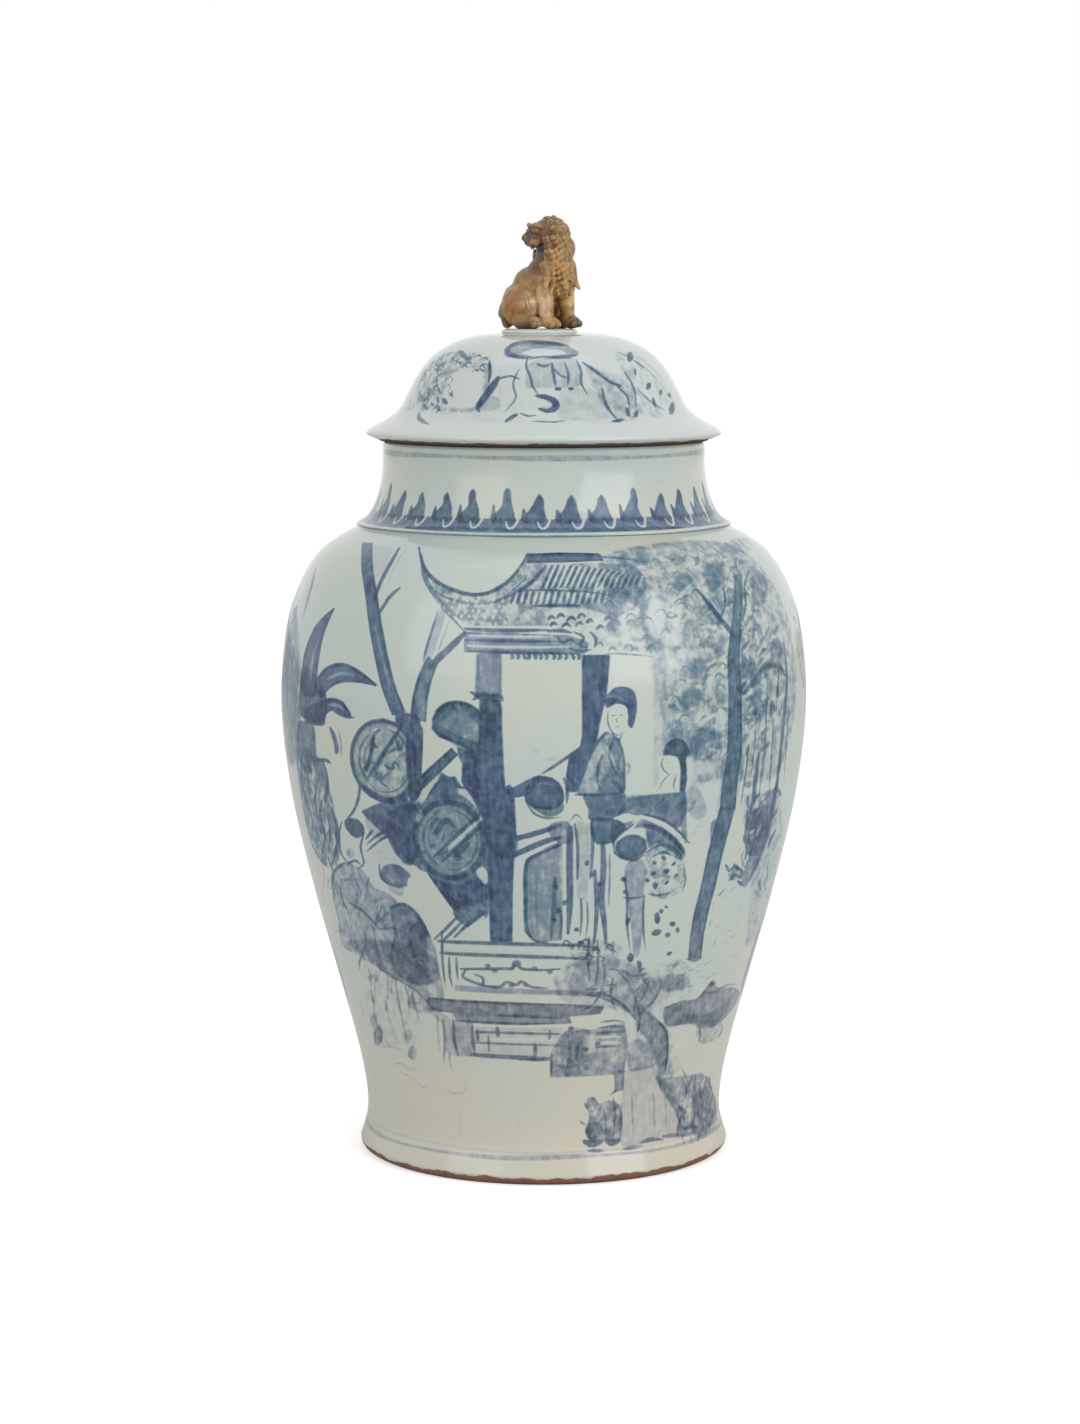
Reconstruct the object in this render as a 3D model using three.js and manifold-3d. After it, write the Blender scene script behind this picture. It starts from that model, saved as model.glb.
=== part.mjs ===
// A blue and white baluster vase with its domed cover and a seated lion for a finial.
// A jar of this size is thrown in sections that are luted together with slip. Each is a solid of its own: the
// lower body with its floor and foot ring, the upper body with the shoulder, and the neck.
// The cover is a dome with a flared rim and a luted ring under it that drops into the mouth.
// Millimetres, +Z up. The vase stands on z = 0, its axis is Z, and its front faces -Y.
import * as THREE from "three";
import { mergeVertices } from "three/addons/utils/BufferGeometryUtils.js";
import Module from "manifold-3d";

const wasm = await Module();
wasm.setup();

// Driving dimensions of the vase
const footRadius = 91.5;
const footFlareRadius = 95.5;
const footFlareHeight = 5;
const footRingWidth = 8.5;
const footRingDepth = 8;
const waistRadius = 91.7;
const waistHeight = 22;
const bellyRadius = 135.2;
const bellyHeight = 231;
const shoulderRadius = 95.5;
const shoulderHeight = 323.2;
const mouthOuterRadius = 82.3;
const mouthInnerRadius = 76;
const mouthHeight = 367;
const bodyJointHeight = 172;
const bodyWall = 7;
const floorThickness = 9;

// Driving dimensions of the cover
const rimRadius = 90.8;
const rimHeight = 371.2;
const seatOuterRadius = 83.5;
const flangeOuterRadius = 72.5;
const flangeInnerRadius = 67;
const flangeDepth = 18;
const domeWall = 5;
const domeTopHeight = 421.5;
const plinthRadius = 19.4;
const plinthThickness = 3.2;
const plinthOffset = -2.2;

// Driving dimensions of the finial
const lionHeading = THREE.MathUtils.degToRad(-35);
const lionGaze = THREE.MathUtils.degToRad(-163);
const lionHeadCentre = [3.2, -1, 44];
const lionNeckHeight = 36;

// The slip in a luted joint, and the play between pieces that only touch
const slip = 0.3;
const latheSides = 48;

const coverSeatHeight = mouthHeight + slip;
const plinthBottom = domeTopHeight + slip;
const plinthTop = plinthBottom + plinthThickness;
const lionGround = plinthTop + slip;

// Outlines

const point = (radius, height) => new THREE.Vector2(radius, height);

// The outer line of the body from the flare of the foot to the root of the neck.
const bodyLine = new THREE.SplineCurve([
  point(footFlareRadius, footFlareHeight),
  point(waistRadius, waistHeight),
  point(waistRadius + 3.6, 49),
  point(106.7, 92),
  point(119.6, 139),
  point(130.2, 186),
  point(bellyRadius, bellyHeight),
  point(132.4, 270),
  point(125.2, 294),
  point(115.8, 309.5),
  point(105.3, 317.8),
  point(shoulderRadius, shoulderHeight),
]);

// The outer line of the cover from the edge of the plinth's seat down to the flared rim.
const domeLine = new THREE.SplineCurve([
  point(plinthRadius + 1, domeTopHeight),
  point(34.5, 420.2),
  point(46.5, 416.4),
  point(56, 410.5),
  point(63.3, 402),
  point(69, 391.8),
  point(73, 384.2),
  point(78.2, 379.2),
  point(84.8, 375.4),
  point(rimRadius - 0.8, rimHeight + 1.3),
]);

// Where on a line that climbs or falls steadily its height is the one asked for, from 0 to 1.
function placeAtHeight(line, height) {
  let low = 0;
  let high = 1;
  const rising = line.getPoint(1).y > line.getPoint(0).y;
  for (let step = 0; step < 40; step++) {
    const middle = (low + high) / 2;
    if (line.getPoint(middle).y < height === rising) low = middle;
    else high = middle;
  }
  return (low + high) / 2;
}

// Points along a stretch of a line, moved inwards by a wall's thickness.
function stretch(line, from, to, count, inwards = 0) {
  const points = [];
  for (let i = 0; i <= count; i++) {
    const place = from + ((to - from) * i) / count;
    const at = line.getPoint(place);
    const along = line.getTangent(place);
    const side = Math.sign(line.getPoint(1).y - line.getPoint(0).y);
    points.push(point(at.x - along.y * inwards * side, at.y + along.x * inwards * side));
  }
  return points;
}

// A closed outline turned round the Z axis.
function turned(outline, sides = latheSides) {
  const closed = outline[0].x === 0 && outline.at(-1).x === 0 ? outline : [...outline, outline[0].clone()];
  return new THREE.LatheGeometry(closed, sides).rotateX(Math.PI / 2);
}

const jointPlace = placeAtHeight(bodyLine, bodyJointHeight);
const upperJointPlace = placeAtHeight(bodyLine, bodyJointHeight + slip);

function lowerBody() {
  const ringInner = footRadius - footRingWidth;
  const floorTop = footRingDepth + floorThickness;
  const inside = stretch(bodyLine, jointPlace, placeAtHeight(bodyLine, 32), 5, bodyWall);
  inside[0] = point(bodyLine.getPoint(jointPlace).x - bodyWall, bodyJointHeight);
  return turned([
    point(0, footRingDepth),
    point(ringInner - 2, footRingDepth),
    point(ringInner, 0),
    point(footRadius, 0),
    point(footFlareRadius - 1, 1.8),
    ...stretch(bodyLine, 0, jointPlace, 10),
    ...inside,
    point(waistRadius - bodyWall - 5, floorTop + 4),
    point(waistRadius - bodyWall - 14, floorTop),
    point(0, floorTop),
  ]);
}

function upperBody() {
  const inside = stretch(bodyLine, placeAtHeight(bodyLine, 316), upperJointPlace, 7, bodyWall);
  inside[inside.length - 1] = point(bodyLine.getPoint(upperJointPlace).x - bodyWall, bodyJointHeight + slip);
  return turned([
    ...stretch(bodyLine, upperJointPlace, 1, 12),
    point(shoulderRadius - bodyWall - 0.5, shoulderHeight),
    point(shoulderRadius - bodyWall + 2.5, shoulderHeight - 5),
    ...inside,
  ]);
}

function neck() {
  const base = shoulderHeight + slip;
  const outer = new THREE.SplineCurve([
    point(shoulderRadius - 4.5, base + 4.6),
    point(87.6, 333),
    point(84.6, 341),
    point(mouthOuterRadius + 0.3, 352),
    point(mouthOuterRadius, mouthHeight - 2),
  ]);
  const inner = new THREE.SplineCurve([
    point(mouthInnerRadius, mouthHeight - 1.4),
    point(mouthInnerRadius + 0.8, 348),
    point(80.4, 335.5),
    point(shoulderRadius - bodyWall - 0.5, base),
  ]);
  return turned([
    point(shoulderRadius, base),
    point(shoulderRadius + 0.7, base + 1.2),
    point(shoulderRadius - 0.6, base + 2.4),
    ...outer.getPoints(5),
    point(mouthOuterRadius - 1.6, mouthHeight),
    point(mouthInnerRadius + 1.4, mouthHeight),
    ...inner.getPoints(4),
  ]);
}

function coverDome() {
  const domeInsideTop = domeTopHeight - domeWall;
  const inside = stretch(domeLine, placeAtHeight(domeLine, 393), 0.06, 5, domeWall);
  return turned([
    point(0, domeInsideTop),
    ...inside.reverse(),
    point(flangeInnerRadius, coverSeatHeight + 9),
    point(flangeInnerRadius, coverSeatHeight),
    point(seatOuterRadius, coverSeatHeight),
    point(rimRadius - 0.8, rimHeight - 1.4),
    point(rimRadius, rimHeight),
    ...stretch(domeLine, 0, 1, 13).reverse(),
    point(0, domeTopHeight),
  ]);
}

function coverFlange() {
  const bottom = coverSeatHeight - flangeDepth;
  return turned([
    point(flangeInnerRadius + 1, bottom),
    point(flangeOuterRadius - 1, bottom),
    point(flangeOuterRadius, bottom + 1.5),
    point(flangeOuterRadius, coverSeatHeight - slip),
    point(flangeInnerRadius, coverSeatHeight - slip),
    point(flangeInnerRadius, bottom + 1.5),
  ]);
}

function finialPlinth() {
  return turned(
    [
      point(0, plinthBottom),
      point(plinthRadius - 0.6, plinthBottom),
      point(plinthRadius, plinthBottom + plinthThickness * 0.4),
      point(plinthRadius - 0.9, plinthTop - 0.4),
      point(plinthRadius - 2, plinthTop),
      point(0, plinthTop),
    ],
    40,
  ).translate(plinthOffset, 0, 0);
}

// Modelled clay: each lump is a ball or a tapered roll, and lumps are pressed together into one body

const vector = (at) => new THREE.Vector3(...at);

function solidOf(geometry) {
  const bare = geometry.clone();
  bare.deleteAttribute("normal");
  bare.deleteAttribute("uv");
  const merged = mergeVertices(bare, 1e-4);
  const mesh = new wasm.Mesh({
    numProp: 3,
    vertProperties: new Float32Array(merged.attributes.position.array),
    triVerts: new Uint32Array(merged.index.array),
  });
  return new wasm.Manifold(mesh);
}

// A ball of clay with its own three half-widths, nodded by pitch.
function ball(centre, halfWidths, { pitch = 0, fine = 10 } = {}) {
  const geometry = new THREE.SphereGeometry(1, fine, Math.round(fine * 0.7));
  const turn = new THREE.Quaternion().setFromEuler(new THREE.Euler(0, pitch, 0));
  geometry.applyMatrix4(new THREE.Matrix4().compose(vector(centre), turn, vector(halfWidths)));
  return solidOf(geometry);
}

// A roll of clay with round ends, from one point and radius to another.
function roll(start, startRadius, end, endRadius, sides = 10) {
  const from = vector(start);
  const to = vector(end);
  const length = from.distanceTo(to);
  const lean = Math.asin((startRadius - endRadius) / length);
  const outline = [];
  for (let i = 0; i <= 3; i++) {
    const angle = -Math.PI / 2 + ((lean + Math.PI / 2) * i) / 3;
    outline.push(point(startRadius * Math.cos(angle), startRadius * Math.sin(angle)));
  }
  for (let i = 0; i <= 3; i++) {
    const angle = lean + ((Math.PI / 2 - lean) * i) / 3;
    outline.push(point(endRadius * Math.cos(angle), length + endRadius * Math.sin(angle)));
  }
  outline[0].x = 0;
  outline.at(-1).x = 0;
  const geometry = new THREE.LatheGeometry(outline, sides);
  const aim = to.clone().sub(from).normalize();
  const turn = new THREE.Quaternion().setFromUnitVectors(new THREE.Vector3(0, 1, 0), aim);
  geometry.applyMatrix4(new THREE.Matrix4().compose(from, turn, new THREE.Vector3(1, 1, 1)));
  return solidOf(geometry);
}

const pressed = (lumps) => lumps.reduce((whole, lump) => whole.add(lump));
const bothSides = [-1, 1];

// A cut can leave crumbs beside the main lump.
const largest = (solid) => solid.decompose().sort((a, b) => b.volume() - a.volume())[0];

// The seated body, looking along +X, on z = 0. Grow makes every lump a little fatter, to cut a neighbour.
function lionTrunk(grow = 0) {
  const wide = (sizes) => sizes.map((size) => size + grow);
  return pressed([
    ball([-10, 0, 11.5], wide([12, 12.5, 12.3])),
    ball([-4, 0, 20.5], wide([12, 10.5, 9.5])),
    roll([-6, 0, 15], 11 + grow, [4.5, 0, 28], 10.2 + grow),
    roll([4.5, 0, 27], 10.2 + grow, [3, 0, 39], 9 + grow),
    ball([9.4, 0, 25.5], wide([8.2, 9.6, 10])),
  ]);
}

function lionLegs() {
  const legs = [];
  for (const side of bothSides) {
    const reach = side < 0 ? 4.6 : 7.6;
    legs.push(
      ball([-7, side * 9.8, 10.4], [10.4, 6.4, 10], { pitch: -0.2 }),
      roll([-5, side * 13, 3.3], 3.8, [3.6, side * 13.2, 2.8], 3.3, 8),
      roll([reach, side * 7, 23], 5.2, [reach + 2.4, side * 7.2, 5], 3.9),
      ball([reach + 4.6, side * 7.4, 2.8], [5, 4.2, 3.3], { fine: 8 }),
    );
  }
  return legs;
}

// The collar of the mane: rings of curls round the neck and the shoulders, open at the throat.
function collarCurls() {
  const rings = [
    { high: 34.5, reach: 9.6, curls: 7, spread: 2.2 },
    { high: 29.8, reach: 11.4, curls: 8, spread: 2.3 },
    { high: 24.8, reach: 12.6, curls: 8, spread: 2.1 },
    { high: 20, reach: 12.9, curls: 5, spread: 1.3 },
  ];
  const nape = lionGaze + Math.PI - lionHeading;
  const curls = [];
  for (const { high, reach, curls: count, spread } of rings) {
    for (let i = 0; i < count; i++) {
      const angle = nape + spread * ((2 * i) / (count - 1) - 1);
      const centre = [4 + Math.cos(angle) * reach, Math.sin(angle) * reach, high];
      curls.push(ball(centre, [2.6, 2.6, 2.6], { fine: 6 }));
    }
  }
  return curls;
}

function lionBody() {
  const high = lionNeckHeight;
  const room = solidOf(new THREE.BoxGeometry(80, 80, high).translate(0, 0, high / 2));
  return largest(pressed([lionTrunk(), ...lionLegs(), ...collarCurls()]).intersect(room));
}

// The head, looking along +X, with its middle on the origin.
function lionHeadLumps() {
  const lumps = [
    ball([0.6, 0, 0.4], [9.6, 9, 8.6], { fine: 12 }),
    ball([8.8, 0, -0.2], [6.4, 5.6, 4], { pitch: -0.05 }),
    ball([14, 0, 1.6], [1.8, 3.2, 2], { fine: 8 }),
    roll([3, 0, -7.4], 4, [10.2, 0, -9.4], 2.2, 8),
    roll([10.2, 0, -9.6], 2, [11.2, 0, -12], 1, 6),
    ball([-2.4, 0, -5.6], [8.8, 9.2, 7]),
  ];
  for (const side of bothSides) {
    lumps.push(
      ball([7.4, side * 4, 4.4], [3.4, 2.7, 2.4], { fine: 8 }),
      ball([9.4, side * 3.6, -2], [4.2, 2.8, 2.8], { fine: 8 }),
      ball([-0.4, side * 9, 2.6], [3.4, 1.9, 2.9], { fine: 8, pitch: 0.4 }),
    );
  }
  return lumps;
}

// Curls of the mane, in rings round the back of the head from the crown down to the nape.
function maneCurls() {
  const rings = [
    { back: 0.15, around: 5, reach: 8.7 },
    { back: 0.68, around: 8, reach: 9.4 },
    { back: 1.2, around: 6, reach: 9.8 },
  ];
  const curls = [];
  for (const { back, around, reach } of rings) {
    for (let i = 0; i < around; i++) {
      const swing = Math.PI * ((i + 0.5) / around) - Math.PI / 2;
      const behind = Math.sin(back) * reach;
      const across = Math.cos(back) * reach;
      const centre = [-behind, Math.sin(swing) * across * 1.05, Math.cos(swing) * across * 0.95];
      curls.push(ball(centre, [2.5, 2.5, 2.5], { fine: 6 }));
    }
  }
  return curls;
}

function lionHead() {
  const place = new THREE.Matrix4().makeRotationZ(lionGaze);
  place.setPosition(...lionHeadCentre);
  const head = pressed([...lionHeadLumps(), ...maneCurls()]).transform(place.toArray());
  const heading = [0, 0, THREE.MathUtils.radToDeg(lionHeading)];
  const neighbour = pressed([lionTrunk(slip), ...collarCurls()]).rotate(heading);
  const stump = solidOf(
    new THREE.BoxGeometry(80, 80, lionNeckHeight).translate(0, 0, lionNeckHeight / 2 + slip),
  );
  return largest(head.subtract(neighbour.intersect(stump)));
}

// A bushy tail laid up the rump in three locks, a little to the near side.
function lionTail() {
  const locks = pressed([
    roll([-21.4, -3, 3], 2.6, [-21.8, -4.4, 11], 3.3, 8),
    roll([-21.8, -4.4, 11], 3.3, [-18, -4.6, 23.5], 1.2, 8),
    roll([-21, -7, 8], 2.6, [-19, -8.6, 18], 1, 8),
    roll([-21.8, -1.4, 9], 2.6, [-19.6, 0, 19.5], 1, 8),
  ]);
  const room = solidOf(new THREE.BoxGeometry(80, 80, 60).translate(0, 0, 30));
  return largest(locks.intersect(room).subtract(lionTrunk(slip)));
}

function geometryOf(solid) {
  const mesh = solid.getMesh();
  const geometry = new THREE.BufferGeometry();
  geometry.setAttribute("position", new THREE.BufferAttribute(mesh.vertProperties.slice(), 3));
  geometry.setIndex(new THREE.BufferAttribute(mesh.triVerts.slice(), 1));
  geometry.computeVertexNormals();
  return geometry;
}

// Finishes

const glaze = new THREE.MeshStandardMaterial({ color: 0xc9d2cb, roughness: 0.14, metalness: 0 });
const coverGlaze = new THREE.MeshStandardMaterial({ color: 0xd6dbd7, roughness: 0.14, metalness: 0 });
const bareClay = new THREE.MeshStandardMaterial({ color: 0xc7ad94, roughness: 0.85, metalness: 0 });
const gilding = new THREE.MeshStandardMaterial({ color: 0x9a7440, roughness: 0.5, metalness: 0.1 });

function piece(name, geometry, material) {
  const mesh = new THREE.Mesh(geometry, material);
  mesh.name = name;
  return mesh;
}

const vase = new THREE.Group();
vase.add(
  piece("lower_body", lowerBody(), glaze),
  piece("upper_body", upperBody(), glaze),
  piece("neck", neck(), glaze),
);

const lion = new THREE.Group();
const lionSeat = new THREE.Group();
lionSeat.rotation.z = lionHeading;
lionSeat.add(
  piece("lion_body", geometryOf(lionBody()), gilding),
  piece("lion_tail", geometryOf(lionTail()), gilding),
);
lion.add(lionSeat, piece("lion_head", geometryOf(lionHead()), gilding));
lion.position.z = lionGround;

const cover = new THREE.Group();
cover.add(
  piece("cover_dome", coverDome(), coverGlaze),
  piece("cover_flange", coverFlange(), bareClay),
  piece("finial_plinth", finialPlinth(), coverGlaze),
  lion,
);

const coveredVase = new THREE.Group();
coveredVase.add(vase, cover);

export default coveredVase;
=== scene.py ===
import json
import math
import random

import bmesh
import bpy
import numpy as np
from mathutils import Matrix, Vector
from mathutils.geometry import delaunay_2d_cdt


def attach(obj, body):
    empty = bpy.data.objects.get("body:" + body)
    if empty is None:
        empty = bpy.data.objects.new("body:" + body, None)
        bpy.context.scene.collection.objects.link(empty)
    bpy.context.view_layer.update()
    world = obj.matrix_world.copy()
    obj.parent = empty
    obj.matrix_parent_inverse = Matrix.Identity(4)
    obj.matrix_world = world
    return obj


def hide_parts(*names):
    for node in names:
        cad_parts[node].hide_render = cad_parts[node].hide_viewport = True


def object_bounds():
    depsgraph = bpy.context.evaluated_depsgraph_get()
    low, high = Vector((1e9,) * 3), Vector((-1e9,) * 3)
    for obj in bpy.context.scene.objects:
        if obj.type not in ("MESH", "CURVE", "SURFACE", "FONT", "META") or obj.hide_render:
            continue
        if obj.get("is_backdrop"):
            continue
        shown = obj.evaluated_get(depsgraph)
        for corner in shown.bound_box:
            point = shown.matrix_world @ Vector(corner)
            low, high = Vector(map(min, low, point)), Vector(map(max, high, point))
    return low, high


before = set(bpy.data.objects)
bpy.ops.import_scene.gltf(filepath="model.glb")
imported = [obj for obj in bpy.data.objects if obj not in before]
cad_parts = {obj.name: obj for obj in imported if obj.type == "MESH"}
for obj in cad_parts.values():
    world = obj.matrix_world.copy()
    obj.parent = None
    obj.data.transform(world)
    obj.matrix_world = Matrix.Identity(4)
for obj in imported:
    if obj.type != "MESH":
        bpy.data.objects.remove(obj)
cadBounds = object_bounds()
scene = bpy.context.scene
millimetre = 0.001
print("frame loaded")


# Camera, floor and light

camera = {
    "distance": 1.851,  # from the vase's axis, along -Y
    "height": 0.4513,
    "sideways": -0.0019,
    "lookDown": 6.92,  # degrees
    "lens": 91.2,
}


def addObject(name, data):
    made = bpy.data.objects.new(name, data)
    scene.collection.objects.link(made)
    return made


def placeCamera(values):
    data = bpy.data.cameras.new("camera")
    data.lens = values["lens"]
    data.clip_start = 0.05
    data.clip_end = 60
    placed = addObject("camera", data)
    placed.location = (values["sideways"], -values["distance"], values["height"])
    placed.rotation_euler = (math.radians(90 - values["lookDown"]), 0, 0)
    scene.camera = placed


# Adds a node with its settings and links, and gives back the one output that is used next
def addNode(tree, kind, inputs=None, out=0, **settings):
    node = tree.nodes.new(kind)
    for name, value in settings.items():
        setattr(node, name, value)
    for name, value in (inputs or {}).items():
        if isinstance(value, bpy.types.NodeSocket):
            tree.links.new(value, node.inputs[name])
        else:
            node.inputs[name].default_value = value
    return node.outputs[out] if node.outputs else None


# An sRGB hex colour as the linear one that a node or an attribute takes
def linear(hexColour, alpha=1.0):
    parts = [int(hexColour[i : i + 2], 16) / 255 for i in (1, 3, 5)]
    return (*[c / 12.92 if c <= 0.04045 else ((c + 0.055) / 1.055) ** 2.4 for c in parts], alpha)


def newMaterial(name):
    made = bpy.data.materials.new(name)
    made.use_nodes = True
    made.node_tree.nodes.clear()
    return made, made.node_tree


studio = {
    "floorSize": 12.0,
    "floorColour": "#e9e9e8",
    "floorLift": 0.52,  # what the camera sees beyond the floor's own light, so that it reads white
    "skyStrength": 0.6,
    "lampsAim": 0.25,  # the height on the vase that the lamps point at
    "lamps": {  # name: (place, size, watts)
        "leftWindow": ((-2.3, -2.4, 1.7), 2.4, 23),
        "rightWindow": ((2.3, -2.2, 1.6), 2.4, 43),
        "overhead": ((0.2, -0.3, 3.1), 2.4, 9),
    },
}


# The white that the camera and clear reflections see is full, and the light on the vase is the plainer sky
def buildSky(strength):
    world = bpy.data.worlds.new("studio")
    world.use_nodes = True
    tree = world.node_tree
    tree.nodes.clear()
    rays = addNode(tree, "ShaderNodeLightPath").node.outputs
    seen = rays["Is Camera Ray"]
    for ray in ("Is Glossy Ray", "Is Transmission Ray"):
        seen = addNode(tree, "ShaderNodeMath", {0: seen, 1: rays[ray]}, operation="MAXIMUM")
    share = addNode(tree, "ShaderNodeMix", {0: seen, 2: strength, 3: 1.0})
    sky = addNode(tree, "ShaderNodeBackground", {"Color": (1, 1, 1, 1), "Strength": share})
    addNode(tree, "ShaderNodeOutputWorld", {"Surface": sky})
    scene.world = world


# Matt paper: an even white that only the object's soft shadow breaks
def floorPaper(values):
    made, tree = newMaterial("floor_paper")
    camera = addNode(tree, "ShaderNodeLightPath", out="Is Camera Ray")
    matt = addNode(tree, "ShaderNodeBsdfDiffuse", {"Color": linear(values["floorColour"])})
    lift = addNode(tree, "ShaderNodeMath", {0: camera, 1: values["floorLift"]}, operation="MULTIPLY")
    glow = addNode(tree, "ShaderNodeEmission", {"Color": (1, 1, 1, 1), "Strength": lift})
    both = addNode(tree, "ShaderNodeAddShader", {0: matt, 1: glow})
    addNode(tree, "ShaderNodeOutputMaterial", {"Surface": both})
    return made


def buildFloor(values):
    half = values["floorSize"] / 2
    mesh = bpy.data.meshes.new("floor")
    corners = [(-half, -half, 0), (half, -half, 0), (half, half, 0), (-half, half, 0)]
    mesh.from_pydata(corners, [], [(0, 1, 2, 3)])
    mesh.materials.append(floorPaper(values))
    floor = addObject("floor", mesh)
    floor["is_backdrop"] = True


def hangLamps(values):
    target = Vector((0, 0, values["lampsAim"]))
    for name, (place, size, watts) in values["lamps"].items():
        lamp = bpy.data.lights.new(name, "AREA")
        lamp.shape = "SQUARE"
        lamp.size = size
        lamp.energy = watts
        holder = addObject(name, lamp)
        holder.location = place
        holder.rotation_euler = (target - Vector(place)).to_track_quat("-Z", "Y").to_euler()


scene.view_settings.view_transform = "Standard"
placeCamera(camera)
buildSky(studio["skyStrength"])
buildFloor(studio)
hangLamps(studio)
print("studio ready")


# The outlines that the vase and its cover are turned from, in mm: (radius, height)

vaseShape = {
    "body": [(95.5, 5), (91.7, 22), (95.3, 49), (106.7, 92), (119.6, 139), (130.2, 186), (135.2, 231),
             (132.4, 270), (125.2, 294), (115.8, 309.5), (105.3, 317.8), (95.5, 323.2)],
    "neck": [(95.5, 323.2), (96.1, 324.5), (94.9, 325.8), (91, 328.1), (87.6, 333), (84.6, 341), (82.6, 352),
             (82.3, 365)],
    "lip": [(82.3, 365), (81.7, 366.4), (80.4, 367), (77.6, 367), (76.4, 366.4), (76, 365.4)],
    "inside": [(76, 365.4), (76.8, 348), (80.4, 335.5), (88, 323.2), (97.6, 314.5), (108.6, 306),
               (117.6, 292), (124.6, 268), (128.2, 231), (123.2, 186), (112.6, 139), (99.7, 92),
               (88.4, 49), (84.7, 32), (80, 21.5), (71, 17.2), (50, 17)],
    "foot": [(95.5, 5), (95.2, 3.2), (94, 1.4), (91.5, 0.05), (91, 0), (83.6, 0), (83, 0.4), (81.6, 6.4),
             (80.2, 8), (50, 8)],
    "bodyJoint": 172.15,  # the heights where the thrown sections were luted together
    "neckJoint": 323.2,
    "paperRadius": 115.0,  # the radius at which the skin is unrolled to be painted on
    "columns": 192,
    "rowStep": 3.6,
    "fineAbove": 285.0,  # the shoulder and neck bend more, so their rows lie closer
    "fineStep": 1.9,
}


# A smooth line through points
def curveThrough(points, steps=8, closed=False):
    known = [np.array(p, float) for p in points]
    count = len(known)
    line = []
    for i in range(count if closed else count - 1):
        if closed:
            a, b, c, d = (known[(i + k) % count] for k in (-1, 0, 1, 2))
        else:
            a, b, c, d = known[max(i - 1, 0)], known[i], known[i + 1], known[min(i + 2, count - 1)]
        for k in range(steps):
            t = k / steps
            line.append(0.5 * (2 * b + (c - a) * t + (2 * a - 5 * b + 4 * c - d) * t * t
                               + (3 * b - a - 3 * c + d) * t ** 3))
    if not closed:
        line.append(known[-1])
    return np.array(line)


# How far along a line each of its points lies
def runAlong(line):
    return np.concatenate([[0], np.cumsum(np.linalg.norm(np.diff(line, axis=0), axis=1))])


# The same line with its points a steady step apart
def evenly(line, step, closed=False):
    if closed:
        line = np.vstack([line, line[:1]])
    run = runAlong(line)
    count = max(3, int(round(run[-1] / step)))
    at = np.linspace(0, run[-1], count + 1)
    if closed:
        at = at[:-1]
    return np.stack([np.interp(at, run, line[:, k]) for k in range(line.shape[1])], 1)


# Painting: every brush mark is cut into the skin's own mesh, on paper unrolled from the turned outline.
# Marks are drawn in mm as seen straight on from one side: across from the middle of that side, and height.

brush = {
    "sheet": None,  # the paper being painted
    "facing": 0.0,  # degrees round from the front
    "flip": 1,  # -1 paints mirrored
    "hue": 0.5,  # from 0, greenish, to 1, purplish
    "unrolled": None,  # or the radius, where marks are given on the paper itself
}
dice = random.Random(7)


# The paper: the outline's radius and height at each run along it, and the marks that will be laid on it
def makeSheet(outline, paperRadius):
    fine = evenly(curveThrough(outline, 14), 0.5)
    radius, height = fine.T
    return {"run": runAlong(fine), "radius": radius, "height": height, "paper": paperRadius, "marks": []}


# From mm as seen from the side that the brush faces, to mm across and along the paper
def onSheet(points):
    sheet = brush["sheet"]
    points = np.asarray(points, float)
    across, height = brush["flip"] * points[:, 0], points[:, 1]
    facing = math.radians(brush["facing"])
    if brush["unrolled"]:
        return np.stack([(across / brush["unrolled"] + facing) * sheet["paper"], height], 1)
    radius = np.interp(height, sheet["height"], sheet["radius"])
    turn = np.arcsin(np.clip(across / radius, -0.985, 0.985)) + facing
    return np.stack([turn * sheet["paper"], np.interp(height, sheet["height"], sheet["run"])], 1)


# Notes a mark down, to be cut into the skin later: its tone and hue, and how softly its edge fades
def addMark(kind, line, tone, hue, soft, **more):
    brush["sheet"]["marks"].append({"kind": kind, "line": line, "tone": tone, "soft": soft, "wipe": False,
                                    "grain": None, "hue": brush["hue"] if hue is None else hue, **more})


# The same line without the points that a straight stretch doesn't need
def thinned(line, slack, longest=6.0):
    kept = [0]
    while kept[-1] < len(line) - 1:
        start, stop = kept[-1], kept[-1] + 1
        while stop + 1 < len(line) and np.linalg.norm(line[stop + 1, :2] - line[start, :2]) < longest:
            span = line[stop + 1] - line[start]
            between = line[start + 1 : stop + 1] - line[start]
            share = between @ span / max(span @ span, 1e-9)
            if np.abs(between - share[:, None] * span).max() > slack:
                break
            stop += 1
        kept.append(stop)
    return line[kept]


# One brush line, swelling from its first tip and thinning to its last
def stroke(points, width=1.1, tone=0.8, hue=None, tips=(0.45, 0.2), soft=None, wipe=False):
    line = curveThrough(points, 7) if len(points) > 2 else np.array(points, float)
    line = onSheet(evenly(line, 0.8))
    along = np.linspace(0, 1, len(line))
    swell = np.minimum(1, tips[0] + (1 - tips[0]) * along / 0.22)
    swell = np.minimum(swell, tips[1] + (1 - tips[1]) * (1 - along) / 0.3)
    half = 0.5 * width * swell
    line = thinned(np.column_stack([line, half]), 0.07 + 0.03 * width)
    addMark("stroke", line[:, :2], tone, hue, soft or min(1.0, 0.35 + 0.2 * width), half=line[:, 2],
            wipe=wipe)


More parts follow.
